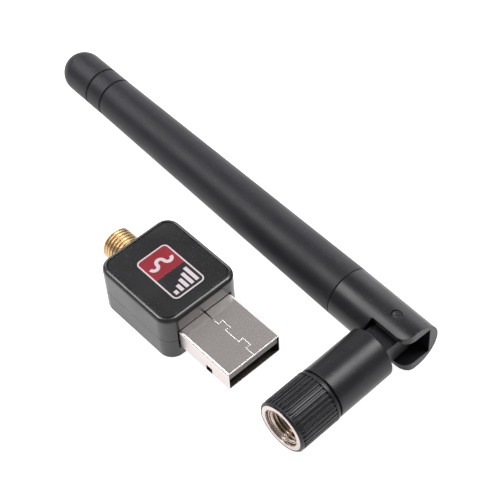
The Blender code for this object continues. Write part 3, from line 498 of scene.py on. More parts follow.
def settled_mesh(name, shape, place=None):
    """Makes a bmesh a piece, laid in its place and with its faces turned outwards."""
    if place is not None:
        bmesh.ops.transform(shape, matrix=place, verts=shape.verts)
    bmesh.ops.recalc_face_normals(shape, faces=shape.faces)
    mesh = bpy.data.meshes.new(name)
    shape.to_mesh(mesh)
    shape.free()
    obj = bpy.data.objects.new(name, mesh)
    bpy.context.scene.collection.objects.link(obj)
    return obj


def lathe(name, section, place=None, steps=96, looped=True):
    """A turned piece from (radius, height) points. A looped section has a bore."""
    rings = []
    for radius, height in section:
        count = steps if radius > 0 else 1
        angles = [2 * math.pi * i / steps for i in range(count)]
        rings.append([(radius * math.cos(a), radius * math.sin(a), height) for a in angles])
    return loft(name, rings, place, looped)


def rod(name, radius, low, high, place=None, steps=96):
    """A solid cylinder, its sizes in millimetres."""
    section = [(0, low), (radius, low), (radius, high), (0, high)]
    return lathe(name, drawn_mm(section), place, steps, looped=False)


def prism(name, outline, low, high, place=None):
    """A flat outline given thickness."""
    return loft(name, [[(x, y, z) for x, y in outline] for z in (low, high)], place)


print("pieces start as a loft, a lathe, a rod or a prism")

# %% [markdown]
# Holes and joined lugs come from Booleans. Each is applied at once, so what is left is a plain
# mesh and the cutter is gone. Fitting a piece then means its finish, its smooth shading, the
# body that carries it and the engineering node that it stands for. Normals are weighted by
# area, so a large flat face stays flat in the light next to its small rounded edges.

# %% Cutting and fitting
def baked(obj):
    """Turns an object's modifiers into a plain mesh."""
    graph = bpy.context.evaluated_depsgraph_get()
    mesh = bpy.data.meshes.new_from_object(obj.evaluated_get(graph))
    obj.modifiers.clear()
    obj.data = mesh
    return obj


def combine(obj, *helpers, operation="DIFFERENCE"):
    """Cuts the helpers from a piece, or joins them on."""
    for helper in helpers:
        boolean = obj.modifiers.new(helper.name, "BOOLEAN")
        boolean.operation = operation
        boolean.object = helper
        boolean.solver = "EXACT"
    baked(obj)
    for helper in helpers:
        bpy.data.objects.remove(helper)
    return obj


def fitted(obj, body, slot, material, *nodes, sharp=32):
    """Finishes a piece and puts it on the body that carries it."""
    obj.data.materials.clear()
    obj.data.materials.append(material)
    obj.data.shade_smooth()
    obj.data.set_sharp_from_angle(angle=math.radians(sharp))
    weighted = obj.modifiers.new("weighted", "WEIGHTED_NORMAL")
    weighted.keep_sharp = True
    baked(obj)
    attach(obj, body)
    if nodes:
        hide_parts(*nodes)
    print(f"{obj.name}: {len(obj.data.polygons)} faces on {body}")
    return obj


# %% [markdown]
# ## The dongle's housing
#
# Two glossy shells meet at a fine seam half way up. Drawing each shell's wall in section and
# carrying it round the housing's rounded rectangle gives the soft top rim, the parting line's
# tiny radius and the lip inside, all at once. The node's box gives the outside size.

# %% The section's journey round the housing
HALF_WIDTH, HALF_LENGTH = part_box("lower_shell")[1].xy
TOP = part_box("upper_shell")[1].z
CORNER = 2.8 * MM


def rounded_outline(half_x, half_y, radius, steps=12):
    """Corner points of a rounded rectangle round the origin."""
    x, y = half_x - radius, half_y - radius
    corners = [((x, y), 0), ((-x, y), 90), ((-x, -y), 180), ((x, -y), 270)]
    arcs = [circle_arc(centre, radius, start, start + 90, steps) for centre, start in corners]
    return [point for arc in arcs for point in arc]


def moulding(name, section):
    """A shell from (distance inside the wall, height) points, both in millimetres."""
    rings = []
    for inset, height in section:
        radius = max(CORNER - inset * MM, 0.3 * MM)
        outline = rounded_outline(HALF_WIDTH - inset * MM, HALF_LENGTH - inset * MM, radius)
        rings.append([(x, y, height * MM) for x, y in outline])
    return loft(name, rings)


print(f"housing {2000 * HALF_WIDTH:.1f} x {2000 * HALF_LENGTH:.1f} x {1000 * TOP:.1f} mm")

# %% [markdown]
# The plug leaves through a slot in the front and the jack through a round hole in the back, and
# both cross the seam. So the same pair of cutters goes through each shell.

# %% Lower and upper shell
PLUG_LOW, PLUG_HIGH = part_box("usb_shell")
JACK_LOW, JACK_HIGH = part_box("rf_jack_body")
JACK_Z = (JACK_LOW.z + JACK_HIGH.z) / 2
THREAD_RADIUS = 3.175 * MM
PLUG_GAP = 0.22 * MM
JACK_GAP = 0.1
ALONG_Y = Matrix.Rotation(math.radians(-90), 4, "X")


def box_between(name, low, high, rounding=0.0, steps=3):
    """A rectangular block between two corners, every edge rounded if asked."""
    shape = bmesh.new()
    low, high = Vector(low), Vector(high)
    bmesh.ops.create_cube(shape, size=1.0)
    bmesh.ops.scale(shape, vec=high - low, verts=shape.verts)
    bmesh.ops.translate(shape, vec=(low + high) / 2, verts=shape.verts)
    if rounding:
        bmesh.ops.bevel(
            shape, geom=shape.edges, offset=rounding, segments=steps, profile=0.5, affect="EDGES"
        )
    return settled_mesh(name, shape)


def openings():
    """Cutters for the plug's slot and the jack's hole."""
    slot = box_between(
        "slot",
        (PLUG_LOW.x - PLUG_GAP, -HALF_LENGTH - MM, PLUG_LOW.z - PLUG_GAP),
        (PLUG_HIGH.x + PLUG_GAP, -HALF_LENGTH + 3 * MM, PLUG_HIGH.z + PLUG_GAP),
    )
    hole_at = Matrix.Translation((0, HALF_LENGTH - 4 * MM, JACK_Z)) @ ALONG_Y
    return slot, rod("hole", THREAD_RADIUS / MM + JACK_GAP, 0, 6, hole_at)


top_rim = circle_arc((0.9, 10.0), 0.9, 180, 96, 8)
upper = [(0.85, 10.5), (0.85, 10.86), (0.84, 10.89)] + top_rim[::-1]
upper += [(0.0, 5.07), (0.015, 5.03), (0.06, 5.015), (1.25, 5.015)]
upper += [(1.25, 4.1), (1.35, 4.0), (1.85, 4.0), (1.85, 9.7)]
lid = combine(moulding("upper_shell_moulding", upper), *openings())
fitted(lid, "dongle", "black_gloss_plastic", GLOSS_PLASTIC, "upper_shell")

floor_edge = circle_arc((0.6, 0.6), 0.6, 270, 180, 6)
lower = floor_edge + [(0.0, 4.93), (0.015, 4.97), (0.06, 4.985), (1.2, 4.985), (1.2, 1.2)]
tray = combine(moulding("lower_shell_moulding", lower), *openings())
posts = []
for side in (-1, 1):
    for y in (-4.6 * MM, 4.6 * MM):
        spot = Matrix.Translation((side * 5 * MM, y, 0))
        posts.append(rod("board_post", 0.9, 0.6, 3.45, spot, 24))
combine(tray, *posts, operation="UNION")
fitted(tray, "dongle", "black_gloss_plastic", GLOSS_PLASTIC, "lower_shell")

# %% [markdown]
# ## The label and its badge
#
# A thin plate fills the recess in the lid, with a fine groove left round it. The badge is
# printed on the plate: a white outline, a red field, a dark field. Its marks here are plain
# shapes, a wave and a row of rising bars. Ink is modelled as a film 0.02 mm thick, so its
# edges stay crisp from any distance. The marks are printed over the fields, one film higher.

# %% Label plate
PLATE_LOW, PLATE_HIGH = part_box("label_panel")


def plate_ring(inset, height):
    outline = rounded_outline(PLATE_HIGH.x - inset * MM, PLATE_HIGH.y - inset * MM, (1.9 - inset) * MM)
    return [(x, y, height) for x, y in outline]


plate_edge = [(0.0, -0.06), (0.02, -0.02), (0.06, 0.0)]
rings = [plate_ring(0.0, PLATE_LOW.z)] + [plate_ring(i, PLATE_HIGH.z + z * MM) for i, z in plate_edge]
fitted(loft("label_plate", rings), "dongle", "black_label", LABEL, "label_panel")

# %% Badge fields and outline
INK_LOW = PLATE_HIGH.z - 0.005 * MM
INK_HIGH = PLATE_HIGH.z + 0.02 * MM
MARK_LOW, MARK_HIGH = INK_HIGH - 0.005 * MM, INK_HIGH + 0.015 * MM
BADGE = (-3.5 * MM, -6.4 * MM, 3.5 * MM, 4.7 * MM)
FIELD_SPLIT = -0.85 * MM
LINE = 0.28 * MM


def badge_outline(inset, bottom=None, top=None):
    """The badge's rounded outline pulled in, or only its part below or above a level."""
    x0, y0, x1, y1 = (BADGE[0] + inset, BADGE[1] + inset, BADGE[2] - inset, BADGE[3] - inset)
    corner = 1.0 * MM - inset
    low_corner, high_corner = corner, corner
    if bottom is not None:
        y0, low_corner = bottom, 0.0
    if top is not None:
        y1, high_corner = top, 0.0
    square = [(x0, y0, low_corner), (x1, y0, low_corner), (x1, y1, high_corner), (x0, y1, high_corner)]
    return eased(square, steps=8)


def ink_ring(name, outer, inner):
    """A printed line between two outlines."""
    walk = ((outer, INK_LOW), (outer, INK_HIGH), (inner, INK_HIGH), (inner, INK_LOW))
    return loft(name, [[(x, y, z) for x, y in outline] for outline, z in walk], looped=True)


line = ink_ring("badge_outline", badge_outline(0.0), badge_outline(LINE))
fitted(line, "dongle", "black_label", WHITE_INK)
red = prism("badge_red_field", badge_outline(LINE, bottom=FIELD_SPLIT), INK_LOW, INK_HIGH)
fitted(red, "dongle", "black_label", RED_INK)
dark = prism("badge_dark_field", badge_outline(LINE, top=FIELD_SPLIT), INK_LOW, INK_HIGH)
fitted(dark, "dongle", "black_label", DARK_INK)

# %% [markdown]
# Repeats are Geometry Nodes' work. A tree's sizes are named inputs, so the same tree could print
# any row of bars. Instances are light while the tree runs, and Realize Instances makes them
# plain faces at the end.

# %% Building a geometry tree and running it
def geometry_tree(name, **inputs):
    """A tree with a Geometry input and output and named inputs: numbers, objects or materials."""
    kinds = {float: "NodeSocketFloat", int: "NodeSocketInt"}
    group = bpy.data.node_groups.new(name, "GeometryNodeTree")
    group.is_modifier = True
    for direction in ("INPUT", "OUTPUT"):
        group.interface.new_socket("Geometry", in_out=direction, socket_type="NodeSocketGeometry")
    for label, value in inputs.items():
        kind = kinds.get(type(value), value if isinstance(value, str) else None)
        socket = group.interface.new_socket(label.replace("_", " "), in_out="INPUT", socket_type=kind)
        if type(value) in kinds:
            socket.default_value = value
    return group, group.nodes.new("NodeGroupInput").outputs, group.nodes.new("NodeGroupOutput").inputs


def run_tree(obj, group, **values):
    """Runs a tree on an object once and keeps the result as its mesh."""
    running = obj.modifiers.new(group.name, "NODES")
    running.node_group = group
    for item in group.interface.items_tree:
        label = item.name.replace(" ", "_")
        if item.in_out == "INPUT" and label in values:
            running[item.identifier] = values[label]
    return baked(obj)


def blank(name):
    """An empty mesh for a tree to fill."""
    obj = bpy.data.objects.new(name, bpy.data.meshes.new(name))
    bpy.context.scene.collection.objects.link(obj)
    return obj


def ends_in(group, geometry, material, output):
    """Realizes the instances, gives them their material and sends them out."""
    real = node(group, "GeometryNodeRealizeInstances", Geometry=geometry).outputs[0]
    painted = node(group, "GeometryNodeSetMaterial", Geometry=real, Material=material).outputs[0]
    group.links.new(painted, output)


print("trees are made by geometry_tree and run by run_tree")

# %% Rising bars
bars, given, result = geometry_tree(
    "rising_bars", Count=5, Spacing=1.0, Width=0.5, First=1.0, Growth=0.5, Left=0.0, Foot=0.0,
    Low=0.0, Thickness=0.02, Ink="NodeSocketMaterial",
)
origin = vector(bars, X=given["Left"], Y=given["Foot"], Z=given["Low"])
stride = vector(bars, X=given["Spacing"])
feet = node(bars, "GeometryNodeMeshLine", Count=given["Count"], Start_Location=origin, Offset=stride)
size = vector(bars, X=given["Width"], Y=1.0, Z=given["Thickness"])
bar = node(bars, "GeometryNodeMeshCube", Size=size).outputs[0]
lift = vector(bars, Y=0.5, Z=sums(bars, "MULTIPLY", given["Thickness"], 0.5))
bar = node(bars, "GeometryNodeTransform", Geometry=bar, Translation=lift).outputs[0]
growth = sums(bars, "MULTIPLY", node(bars, "GeometryNodeInputIndex").outputs[0], given["Growth"])
grown = vector(bars, X=1.0, Y=sums(bars, "ADD", given["First"], growth), Z=1.0)
copies = node(
    bars, "GeometryNodeInstanceOnPoints", Points=feet.outputs[0], Instance=bar, Scale=grown
).outputs[0]
ends_in(bars, copies, given["Ink"], result["Geometry"])
row_of_bars = run_tree(
    blank("badge_bars"), bars, Count=5, Spacing=1.14 * MM, Width=0.72 * MM, First=0.9 * MM,
    Growth=0.68 * MM, Left=-2.28 * MM, Foot=-5.55 * MM, Low=MARK_LOW, Thickness=MARK_HIGH - MARK_LOW,
    Ink=WHITE_INK,
)
fitted(row_of_bars, "dongle", "black_label", WHITE_INK)

# %% [markdown]
# The wave on the red field is a flat brush carried along three half circles. The helper that
# carries it mitres the section at each turn of a path, and cuts the plug's seam later on.

# %% Sweeping a section along a flat path
def swept(name, path, section, height):
    """Carries (sideways, up) points along an XY path at this height."""
    points = [Vector(p) for p in path]
    rings = []
    for i, point in enumerate(points):
        before = (point - points[i - 1]).normalized() if i else None
        after = (points[i + 1] - point).normalized() if i + 1 < len(points) else None
        along = ((before or after) + (after or before)).normalized()
        across = Vector((-along.y, along.x))
        square = Vector((-(after or before).y, (after or before).x))
        stretch = 1 / max(0.4, across.dot(square))
        rings.append([(*(point + across * w * stretch), height + z) for w, z in section])
    return loft(name, rings)


print("a flat section and a path make a swept piece")

# %% Wave
WAVE_RADIUS, WAVE_Y, HALF_BRUSH = 0.78 * MM, 1.8 * MM, 0.34 * MM
wave_path = []
for turn, far_side in ((-1, 360), (0, 0), (1, 360)):
    half_circle = circle_arc((2 * turn * WAVE_RADIUS, WAVE_Y), WAVE_RADIUS, 180, far_side, 20)
    wave_path += half_circle[1:] if wave_path else half_circle
brush = [(-HALF_BRUSH, MARK_LOW), (HALF_BRUSH, MARK_LOW), (HALF_BRUSH, MARK_HIGH), (-HALF_BRUSH, MARK_HIGH)]
fitted(swept("badge_wave", wave_path, brush, 0.0), "dongle", "black_label", WHITE_INK)

# %% [markdown]
# ## The USB plug
#
# The plug's shell is one steel sheet folded into a rectangular tube. Its edges meet on top in a
# fine seam, locked by two jigsaw tabs. Both edges are broken by the press, so the seam is a
# tiny V above a slit, and the V is what catches the light. The V and slit are one section
# swept along the seam's path.

# %% Seam
FRONT, BACK = PLUG_LOW.y, PLUG_HIGH.y
TAB_WIDTH, TAB_LENGTH, TAB_FLARE = 1.0 * MM, 1.6 * MM, 0.25 * MM
path = [(0.0, BACK + MM)]
for start in (3.7 * MM, 8.9 * MM):
    near, far = -HALF_LENGTH - start, -HALF_LENGTH - start - TAB_LENGTH
    path += [(0, near), (TAB_WIDTH, near + TAB_FLARE), (TAB_WIDTH, far - TAB_FLARE), (0, far)]
path.append((0.0, FRONT - MM))
half_v = [(0.15, 0.1), (0.055, 0.0), (0.012, -0.022), (0.012, -0.6)]
v_seam = [(-0.15, 0.1)] + half_v + [(-w, z) for w, z in half_v[:0:-1]]
seam = swept("seam", path, [(w * MM, z * MM) for w, z in v_seam], PLUG_HIGH.z)
print("seam path has", len(path), "points")

# %% [markdown]
# The sheet itself is a loft of rounded rectangles along the plug: down the outside, round the
# pressed front rim and back up the inside. The windows are cut afterwards: one in each side,
# two for the latches underneath, and a wedge where the seam opens at the root.

# %% Folded steel shell
CENTRE_Z = (PLUG_LOW.z + PLUG_HIGH.z) / 2
SIDE_WINDOW_Y = FRONT + 5.0 * MM
ROOT_TIP = -HALF_LENGTH - 2.4 * MM


def sheet_ring(inset, y):
    half_x, half_z = PLUG_HIGH.x - inset * MM, PLUG_HIGH.z - CENTRE_Z - inset * MM
    outline = rounded_outline(half_x, half_z, (0.45 - inset) * MM, 6)
    return [(x, y, CENTRE_Z + z) for x, z in outline]


sheet = [(0.0, BACK), (0.0, FRONT + 0.1 * MM), (0.03, FRONT + 0.03 * MM), (0.1, FRONT)]
sheet += [(0.22, FRONT), (0.28, FRONT + 0.03 * MM), (0.3, FRONT + 0.1 * MM), (0.3, BACK)]
shell = loft("usb_folded_shell", [sheet_ring(*place) for place in sheet], looped=True)
low = PLUG_LOW.z + 0.25 * MM
corner = (8 * MM, SIDE_WINDOW_Y + 0.75 * MM, low + 1.5 * MM)
windows = [seam, box_between("side_window", (-8 * MM, SIDE_WINDOW_Y - 0.75 * MM, low), corner)]
for side in (-3 * MM, 3 * MM):
    near = (side - 1.25 * MM, FRONT + 5.1 * MM, PLUG_LOW.z - MM)
    far = (side + 1.25 * MM, FRONT + 7.3 * MM, PLUG_LOW.z + 0.6 * MM)
    windows.append(box_between("latch_window", near, far))
wedge = [(-0.2 * MM, MM - HALF_LENGTH), (0.2 * MM, MM - HALF_LENGTH)]
wedge += [(0.06 * MM, ROOT_TIP), (-0.06 * MM, ROOT_TIP)]
windows.append(prism("open_root", wedge, PLUG_HIGH.z - 0.5 * MM, PLUG_HIGH.z + MM))
combine(shell, *windows)
fitted(shell, "dongle", "plated_steel", STEEL, "usb_shell")

# %% [markdown]
# A plug is dark inside, because its walls only mirror each other. That shade is painted: the
# faces inside the tube take a darker steel.

# %% Dark inside of the plug
shell.data.materials.append(STEEL_IN_PAINTED_SHADE)
for face in shell.data.polygons:
    x, y, z = face.center
    # A face well inside the tube takes the painted-shade steel.
    deep = abs(x) < PLUG_HIGH.x - 0.2 * MM and abs(z - CENTRE_Z) < PLUG_HIGH.z - CENTRE_Z - 0.2 * MM
    face.material_index = int(deep and y > FRONT + 0.05 * MM)
print("faces inside the plug:", sum(face.material_index for face in shell.data.polygons))

# %% [markdown]
# Inside, a plastic tongue fills the upper half of the opening, and four gilt contacts lie in
# grooves under it. The blade is drawn once, and a tree sets a copy on each of four points.

# %% Tongue
low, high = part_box("usb_tongue")
tongue = box_between("usb_tongue_block", low, high, 0.12 * MM)
CONTACT_SPOTS = [-3.5 * MM, -1.0 * MM, 1.0 * MM, 3.5 * MM]
blade_low, blade_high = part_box("usb_contact_1")
grooves = []
for x in CONTACT_SPOTS:
    near = (x - 0.55 * MM, blade_low.y - 0.3 * MM, low.z - MM)
    far = (x + 0.55 * MM, high.y + MM, blade_high.z + 0.05 * MM)
    grooves.append(box_between("groove", near, far))
combine(tongue, *grooves)
fitted(tongue, "dongle", "grey_plastic", TONGUE, "usb_tongue")

# %% Contacts
SIDE_ON = Matrix.Rotation(math.radians(90), 4, "Z") @ Matrix.Rotation(math.radians(90), 4, "X")
THICK = 0.2 * MM
bend_y = blade_high.y - 1.0 * MM
blade_line = [
    (blade_low.y, blade_high.z - THICK, 0.05 * MM), (bend_y, blade_high.z - THICK, 0.1 * MM),
    (bend_y, blade_low.z, 0.25 * MM), (blade_high.y, blade_low.z, 0.05 * MM),
    (blade_high.y, blade_low.z + THICK, 0.05 * MM), (bend_y + THICK, blade_low.z + THICK, 0.1 * MM),
    (bend_y + THICK, blade_high.z, 0.25 * MM), (blade_low.y, blade_high.z, 0.15 * MM),
]
blade = prism("blade", eased(blade_line), -0.5 * MM, 0.5 * MM, SIDE_ON)
contacts, given, result = geometry_tree("contact_row", Blade="NodeSocketObject", Metal="NodeSocketMaterial")
shape = node(contacts, "GeometryNodeObjectInfo", Object=given["Blade"]).outputs["Geometry"]
copies = node(contacts, "GeometryNodeInstanceOnPoints", Points=given["Geometry"], Instance=shape)
ends_in(contacts, copies.outputs[0], given["Metal"], result["Geometry"])
blades = blank("usb_contact_blades")
blades.data.from_pydata([(x, 0, 0) for x in CONTACT_SPOTS], [], [])
run_tree(blades, contacts, Blade=blade, Metal=GOLD)
bpy.data.objects.remove(blade)
fitted(blades, "dongle", "gold_plate", GOLD, *[f"usb_contact_{number}" for number in range(1, 5)])

# %% [markdown]
# ## Screw threads
#
# The jack carries a 1/4-36 thread and the antenna's nut matches it. A thread is a rule: the
# surface moves in by an amount that depends on height less turns. A Geometry Nodes tree
# applies that rule to any turned piece, reading a mask that says where the thread is cut.

# %% The thread tree
PITCH = 25.4 * MM / 36
thread, given, result = geometry_tree("cut_thread", Pitch=PITCH, Depth=0.4 * MM, Metal="NodeSocketMaterial")
here = node(thread, "GeometryNodeInputPosition").outputs[0]
spot = node(thread, "ShaderNodeSeparateXYZ", Vector=here).outputs
angle = sums(thread, "ARCTAN2", spot["Y"], spot["X"])
rise = sums(thread, "DIVIDE", spot["Z"], given["Pitch"])
turns = sums(thread, "SUBTRACT", rise, sums(thread, "DIVIDE", angle, 2 * math.pi))
wave = sums(thread, "PINGPONG", turns, 0.5)
flat = node(thread, "ShaderNodeMapRange", Value=wave, From_Min=0.06, From_Max=0.44).outputs[0]
mask = node(thread, "GeometryNodeInputNamedAttribute", data_type="FLOAT", Name="thread").outputs[0]
sink = sums(thread, "MULTIPLY", sums(thread, "MULTIPLY", flat, given["Depth"]), mask)
sideways = vector(thread, X=spot["X"], Y=spot["Y"])
outward = node(thread, "ShaderNodeVectorMath", operation="NORMALIZE", I0=sideways).outputs[0]
back = sums(thread, "MULTIPLY", sink, -1.0)
inward = node(thread, "ShaderNodeVectorMath", operation="SCALE", I0=outward, Scale=back).outputs[0]
moved = node(thread, "GeometryNodeSetPosition", Geometry=given["Geometry"], Offset=inward)
ends_in(thread, moved.outputs[0], given["Metal"], result["Geometry"])


def with_thread(obj, radius, start, end, depth, metal):
    """Cuts a thread where the piece has this radius, fading in and out over half a turn."""
    mark = obj.data.attributes.new("thread", "FLOAT", "POINT")
    for vertex in obj.data.vertices:
        x, y, z = vertex.co
        if abs(math.hypot(x, y) - radius) < 0.001 * MM:
            mark.data[vertex.index].value = max(0.0, min(1.0, 2 * min(z - start, end - z) / PITCH))
    return run_tree(obj, thread, Depth=depth, Metal=metal)


def thread_rows(radius, start, end, count=13):
    """Section points close enough together to hold a thread."""
    rows = round((end - start) / PITCH * count)
    return [(radius, start + (end - start) * i / rows) for i in range(rows + 1)]


print(f"thread pitch {1000 * PITCH:.3f} mm")

# %% [markdown]
# ## The antenna jack
#
# The jack is turned brass, gilt all over: a threaded barrel with a deep mouth, on a square
# flange whose legs are soldered to the board. Its white insulator holds a centre pin.

# %% Threaded barrel
JACK_END = 9.25
MOUTH = JACK_END - 2.8
JACK_BACK = JACK_HIGH.y - JACK_END * MM
JACK = Matrix.Translation((0, JACK_BACK, JACK_Z)) @ ALONG_Y
THREAD_DEPTH = 0.34 * MM
section = drawn_mm([(2.34, JACK_END - 0.06), (2.4, JACK_END), (2.78, JACK_END), (2.84, JACK_END - 0.05)])
section += thread_rows(THREAD_RADIUS, 1.9 * MM, (JACK_END - 0.35) * MM)[::-1]
section += drawn_mm([(THREAD_RADIUS / MM, 0.45), (2.0, 0.45), (2.0, MOUTH), (2.34, MOUTH)])
barrel = lathe("jack_threaded_barrel", section)
with_thread(barrel, THREAD_RADIUS, 2.0 * MM, (JACK_END - 0.3) * MM, THREAD_DEPTH, GOLD)
barrel.data.transform(JACK)
print("barrel", len(barrel.data.vertices), "points")

# %% [markdown]
# The flange and its two solder legs are blocks joined on to the barrel, and its bore is cut
# again through the flange.

# %% Flange and legs
flange_low = (-3.1 * MM, JACK_BACK, JACK_Z - 3.1 * MM)
flange_high = (3.1 * MM, JACK_BACK + 1.5 * MM, JACK_Z + 3.1 * MM)
board_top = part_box("circuit_board")[1].z
lugs = [box_between("flange", flange_low, flange_high, 0.15 * MM)]
for side in (-2.4 * MM, 2.4 * MM):
    leg_low = (side - 0.45 * MM, JACK_BACK - 2.8 * MM, board_top + 0.05 * MM)
    leg_high = (side + 0.45 * MM, JACK_BACK + 0.4 * MM, board_top + 0.75 * MM)
    lugs.append(box_between("leg", leg_low, leg_high, 0.05 * MM))
combine(barrel, *lugs, operation="UNION")
combine(barrel, rod("bore", 2.0, -1, 2, JACK))
fitted(barrel, "dongle", "gold_plate", GOLD, "rf_jack_body", sharp=50)

# %% Insulator and centre pin
section = drawn_mm([(0.5, 0.05), (1.95, 0.05), (1.95, 6.4, 0.15), (0.8, 6.4), (0.7, 6.25), (0.5, 6.25)])
insulator = lathe("jack_insulator", section, JACK, 64)
fitted(insulator, "dongle", "white_insulator", INSULATOR, "rf_jack_insulator")
pin_low = (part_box("rf_jack_pin")[0].y - JACK_BACK) / MM
tip = JACK_END - 0.5
section = [(0, tip), (0.2, tip - 0.02), (0.32, tip - 0.15), (0.45, tip - 0.5)]
section = drawn_mm(section + [(0.45, pin_low + 0.1), (0.35, pin_low), (0, pin_low)])
fitted(lathe("jack_pin", section, JACK, 40, looped=False), "dongle", "gold_plate", GOLD, "rf_jack_pin")

# %% [markdown]
# ## The elbow
#
# The whip's lower end is a round sleeve slotted into a fork, and its cheeks hold a flat tongue
# on the base. Both are simple in section but cut across their roundness, so they start on the
# lathe and are then cut by flat outlines, seen from above the elbow. Two short pins join them
# and leave the middle free for the cable.

# %% The fork
PLAN = Matrix(((0, 0, 1, 0), (0, 1, 0, 0), (1, 0, 0, 0), (0, 0, 0, 1)))
FORK_END, FORK_SIDE = -5.25, -2.9


def pin_hole(radius):
    return rod("pin_hole", radius, -9, 9, Matrix.Rotation(math.radians(90), 4, "Y"), 48)


section = drawn_mm([
    (1.0, 15.48), (3.55, 15.48, 0.2), (3.55, 11.78), (5.0, 11.78, 0.12), (5.0, -8), (1.0, -8),
])
fork = lathe("elbow_fork_moulding", section, steps=128)
outline = [(20, 8), (FORK_END, 8), (FORK_END, FORK_SIDE, 2.2), (2.9, FORK_SIDE, 0.3), (2.9, -8), (20, -8)]
plan = prism("plan", drawn_mm(outline), -10 * MM, 10 * MM, PLAN)
combine(fork, plan, operation="INTERSECT")
gap = [(-8 * MM, 3 * MM), (-8 * MM, -8 * MM), (3 * MM, -8 * MM)] + circle_arc((0, 0), 3 * MM, 0, 90, 24)
combine(fork, prism("slot", gap, -3.1 * MM, 3.1 * MM, PLAN), pin_hole(1.05))
fork.data.transform(WHIP)
fitted(fork, "whip", "black_satin_plastic", SATIN_PLASTIC, "elbow_fork")

# %% Pins
for name, side in (("upper", 1), ("lower", -1)):
    section = drawn_mm([(0, 4.78), (0.42, 4.78), (0.55, 4.86, 0.1), (1.0, 4.86, 0.14), (1.0, 1.5), (0, 1.5)])
    upright = WHIP @ Matrix.Rotation(math.radians(90 * side), 4, "Y")
    pin = lathe("elbow_pin_" + name, section, upright, 48, looped=False)
    fitted(pin, "whip", "black_satin_plastic", SATIN_PLASTIC, "pivot_pin_" + name)

# %% The base
section = drawn_mm([
    (1.0, 18.5), (4.45, 18.5), (4.45, 18.1), (4.97, 18.1, 0.15), (4.97, 5.98, 0.18), (1.0, 5.98),
])
base = lathe("antenna_base_moulding", section, steps=128)
reach = 2.8 * MM
outline = [(8 * MM, reach)] + circle_arc((0, 0), reach, 90, 270, 40) + [(8 * MM, -reach)]
combine(base, prism("tongue", outline, -2.2 * MM, 2.2 * MM, PLAN), operation="UNION")
passage = rod("passage", 1, -6, 12, steps=48)
tail = rod("tail", 2.65, 11, 20, steps=64)
combine(base, passage, tail, pin_hole(1.06))
base.data.transform(BASE)
fitted(base, "antenna_base", "black_satin_plastic", SATIN_PLASTIC, "base_body")

# %% [markdown]
# ## The whip's cover
#
# A rubber tube slips over the fork's spigot, tapers, and ends in a round tip. Two fine rings
# are moulded near the end. The whole outside is one section, from the tip down and back up
# the bore.

# %% Tapered cover
FOOT_RADIUS, TIP_RADIUS = 5.0, 4.19
FOOT, TAPER, DOME = 11.95, 66.9, 89.5
TAPER_ROWS = 24
section = [(0.0, DOME + TIP_RADIUS)] + circle_arc((0, DOME), TIP_RADIUS, 86, 0, 22)
half_ring = [(0.0, 0.26), (0.08, 0.19), (0.3, 0.08)]
for ring in (83.4, 79.1):
    section += [(TIP_RADIUS - depth, ring + along) for depth, along in half_ring]
    section += [(TIP_RADIUS - depth, ring - along) for depth, along in half_ring[::-1]]
for row in range(TAPER_ROWS - 1, 0, -1):
    share = row / TAPER_ROWS
    section.append((TIP_RADIUS + (FOOT_RADIUS - TIP_RADIUS) * (1 - share), FOOT + TAPER * share))
section += [(FOOT_RADIUS, 12.0), (4.97, 11.92), (4.9, 11.88), (3.6, 11.88)]
section += [(3.6, 15.58), (2.9, 15.58), (2.9, 86.5), (0.0, 86.5)]
cover = lathe("whip_cover_moulding", drawn_mm(section), WHIP, 128, looped=False)
fitted(cover, "whip", "black_rubber", RUBBER, "whip_cover")

# %% [markdown]
# ## The coupling nut
#
# The nut is a plastic grip moulded round a nickel-plated threaded insert, and spins freely on
# the base. Its 36 ribs are one rounded rod, set round a circle of points by a tree and turned
# to face outwards by their number.

# %% The grip's ribs
ribs, given, result = geometry_tree(
    "grip_ribs", Count=36, Radius=4.8 * MM, Half_Width=0.3 * MM, Rise=0.3 * MM, Rounding=0.1 * MM,
    Start=0.0, End=1.0, Taper=0.3 * MM, Turn=0.07, Plastic="NodeSocketMaterial",
)
foot, head = (vector(ribs, Z=given[label]) for label in ("Start", "End"))
line = node(ribs, "GeometryNodeCurvePrimitiveLine", Start=foot, End=head).outputs[0]
spine = node(ribs, "GeometryNodeResampleCurve", Curve=line, Count=15).outputs[0]
width, height = (sums(ribs, "MULTIPLY", given[label], 2.0) for label in ("Half Width", "Rise"))
bar = node(ribs, "GeometryNodeCurvePrimitiveQuadrilateral", Width=width, Height=height).outputs[0]
bar = node(
    ribs, "GeometryNodeFilletCurve", mode="POLY", Curve=bar, Count=3, Radius=given["Rounding"]
).outputs[0]
rib = node(ribs, "GeometryNodeCurveToMesh", Curve=spine, Profile_Curve=bar, Fill_Caps=True).outputs[0]
here = node(ribs, "GeometryNodeInputPosition").outputs[0]
level = node(ribs, "ShaderNodeSeparateXYZ", Vector=here).outputs["Z"]
above = sums(ribs, "SUBTRACT", level, given["Start"])
from_end = sums(ribs, "MINIMUM", above, sums(ribs, "SUBTRACT", given["End"], level))
thinner = node(ribs, "ShaderNodeMapRange", Value=from_end, From_Max=given["Taper"], To_Min=0.6).outputs[0]
slim = vector(ribs, X=thinner, Y=thinner, Z=1.0)
tapered = node(ribs, "ShaderNodeVectorMath", operation="MULTIPLY", I0=here, I1=slim).outputs[0]
rib = node(ribs, "GeometryNodeSetPosition", Geometry=rib, Position=tapered).outputs[0]
print("one rib, rounded and thinner at its ends")

# %% [markdown]
# The number of a point on the circle, times the angle between two ribs, is the heading its rib
# faces. The grip itself joins them as the tree's own geometry.

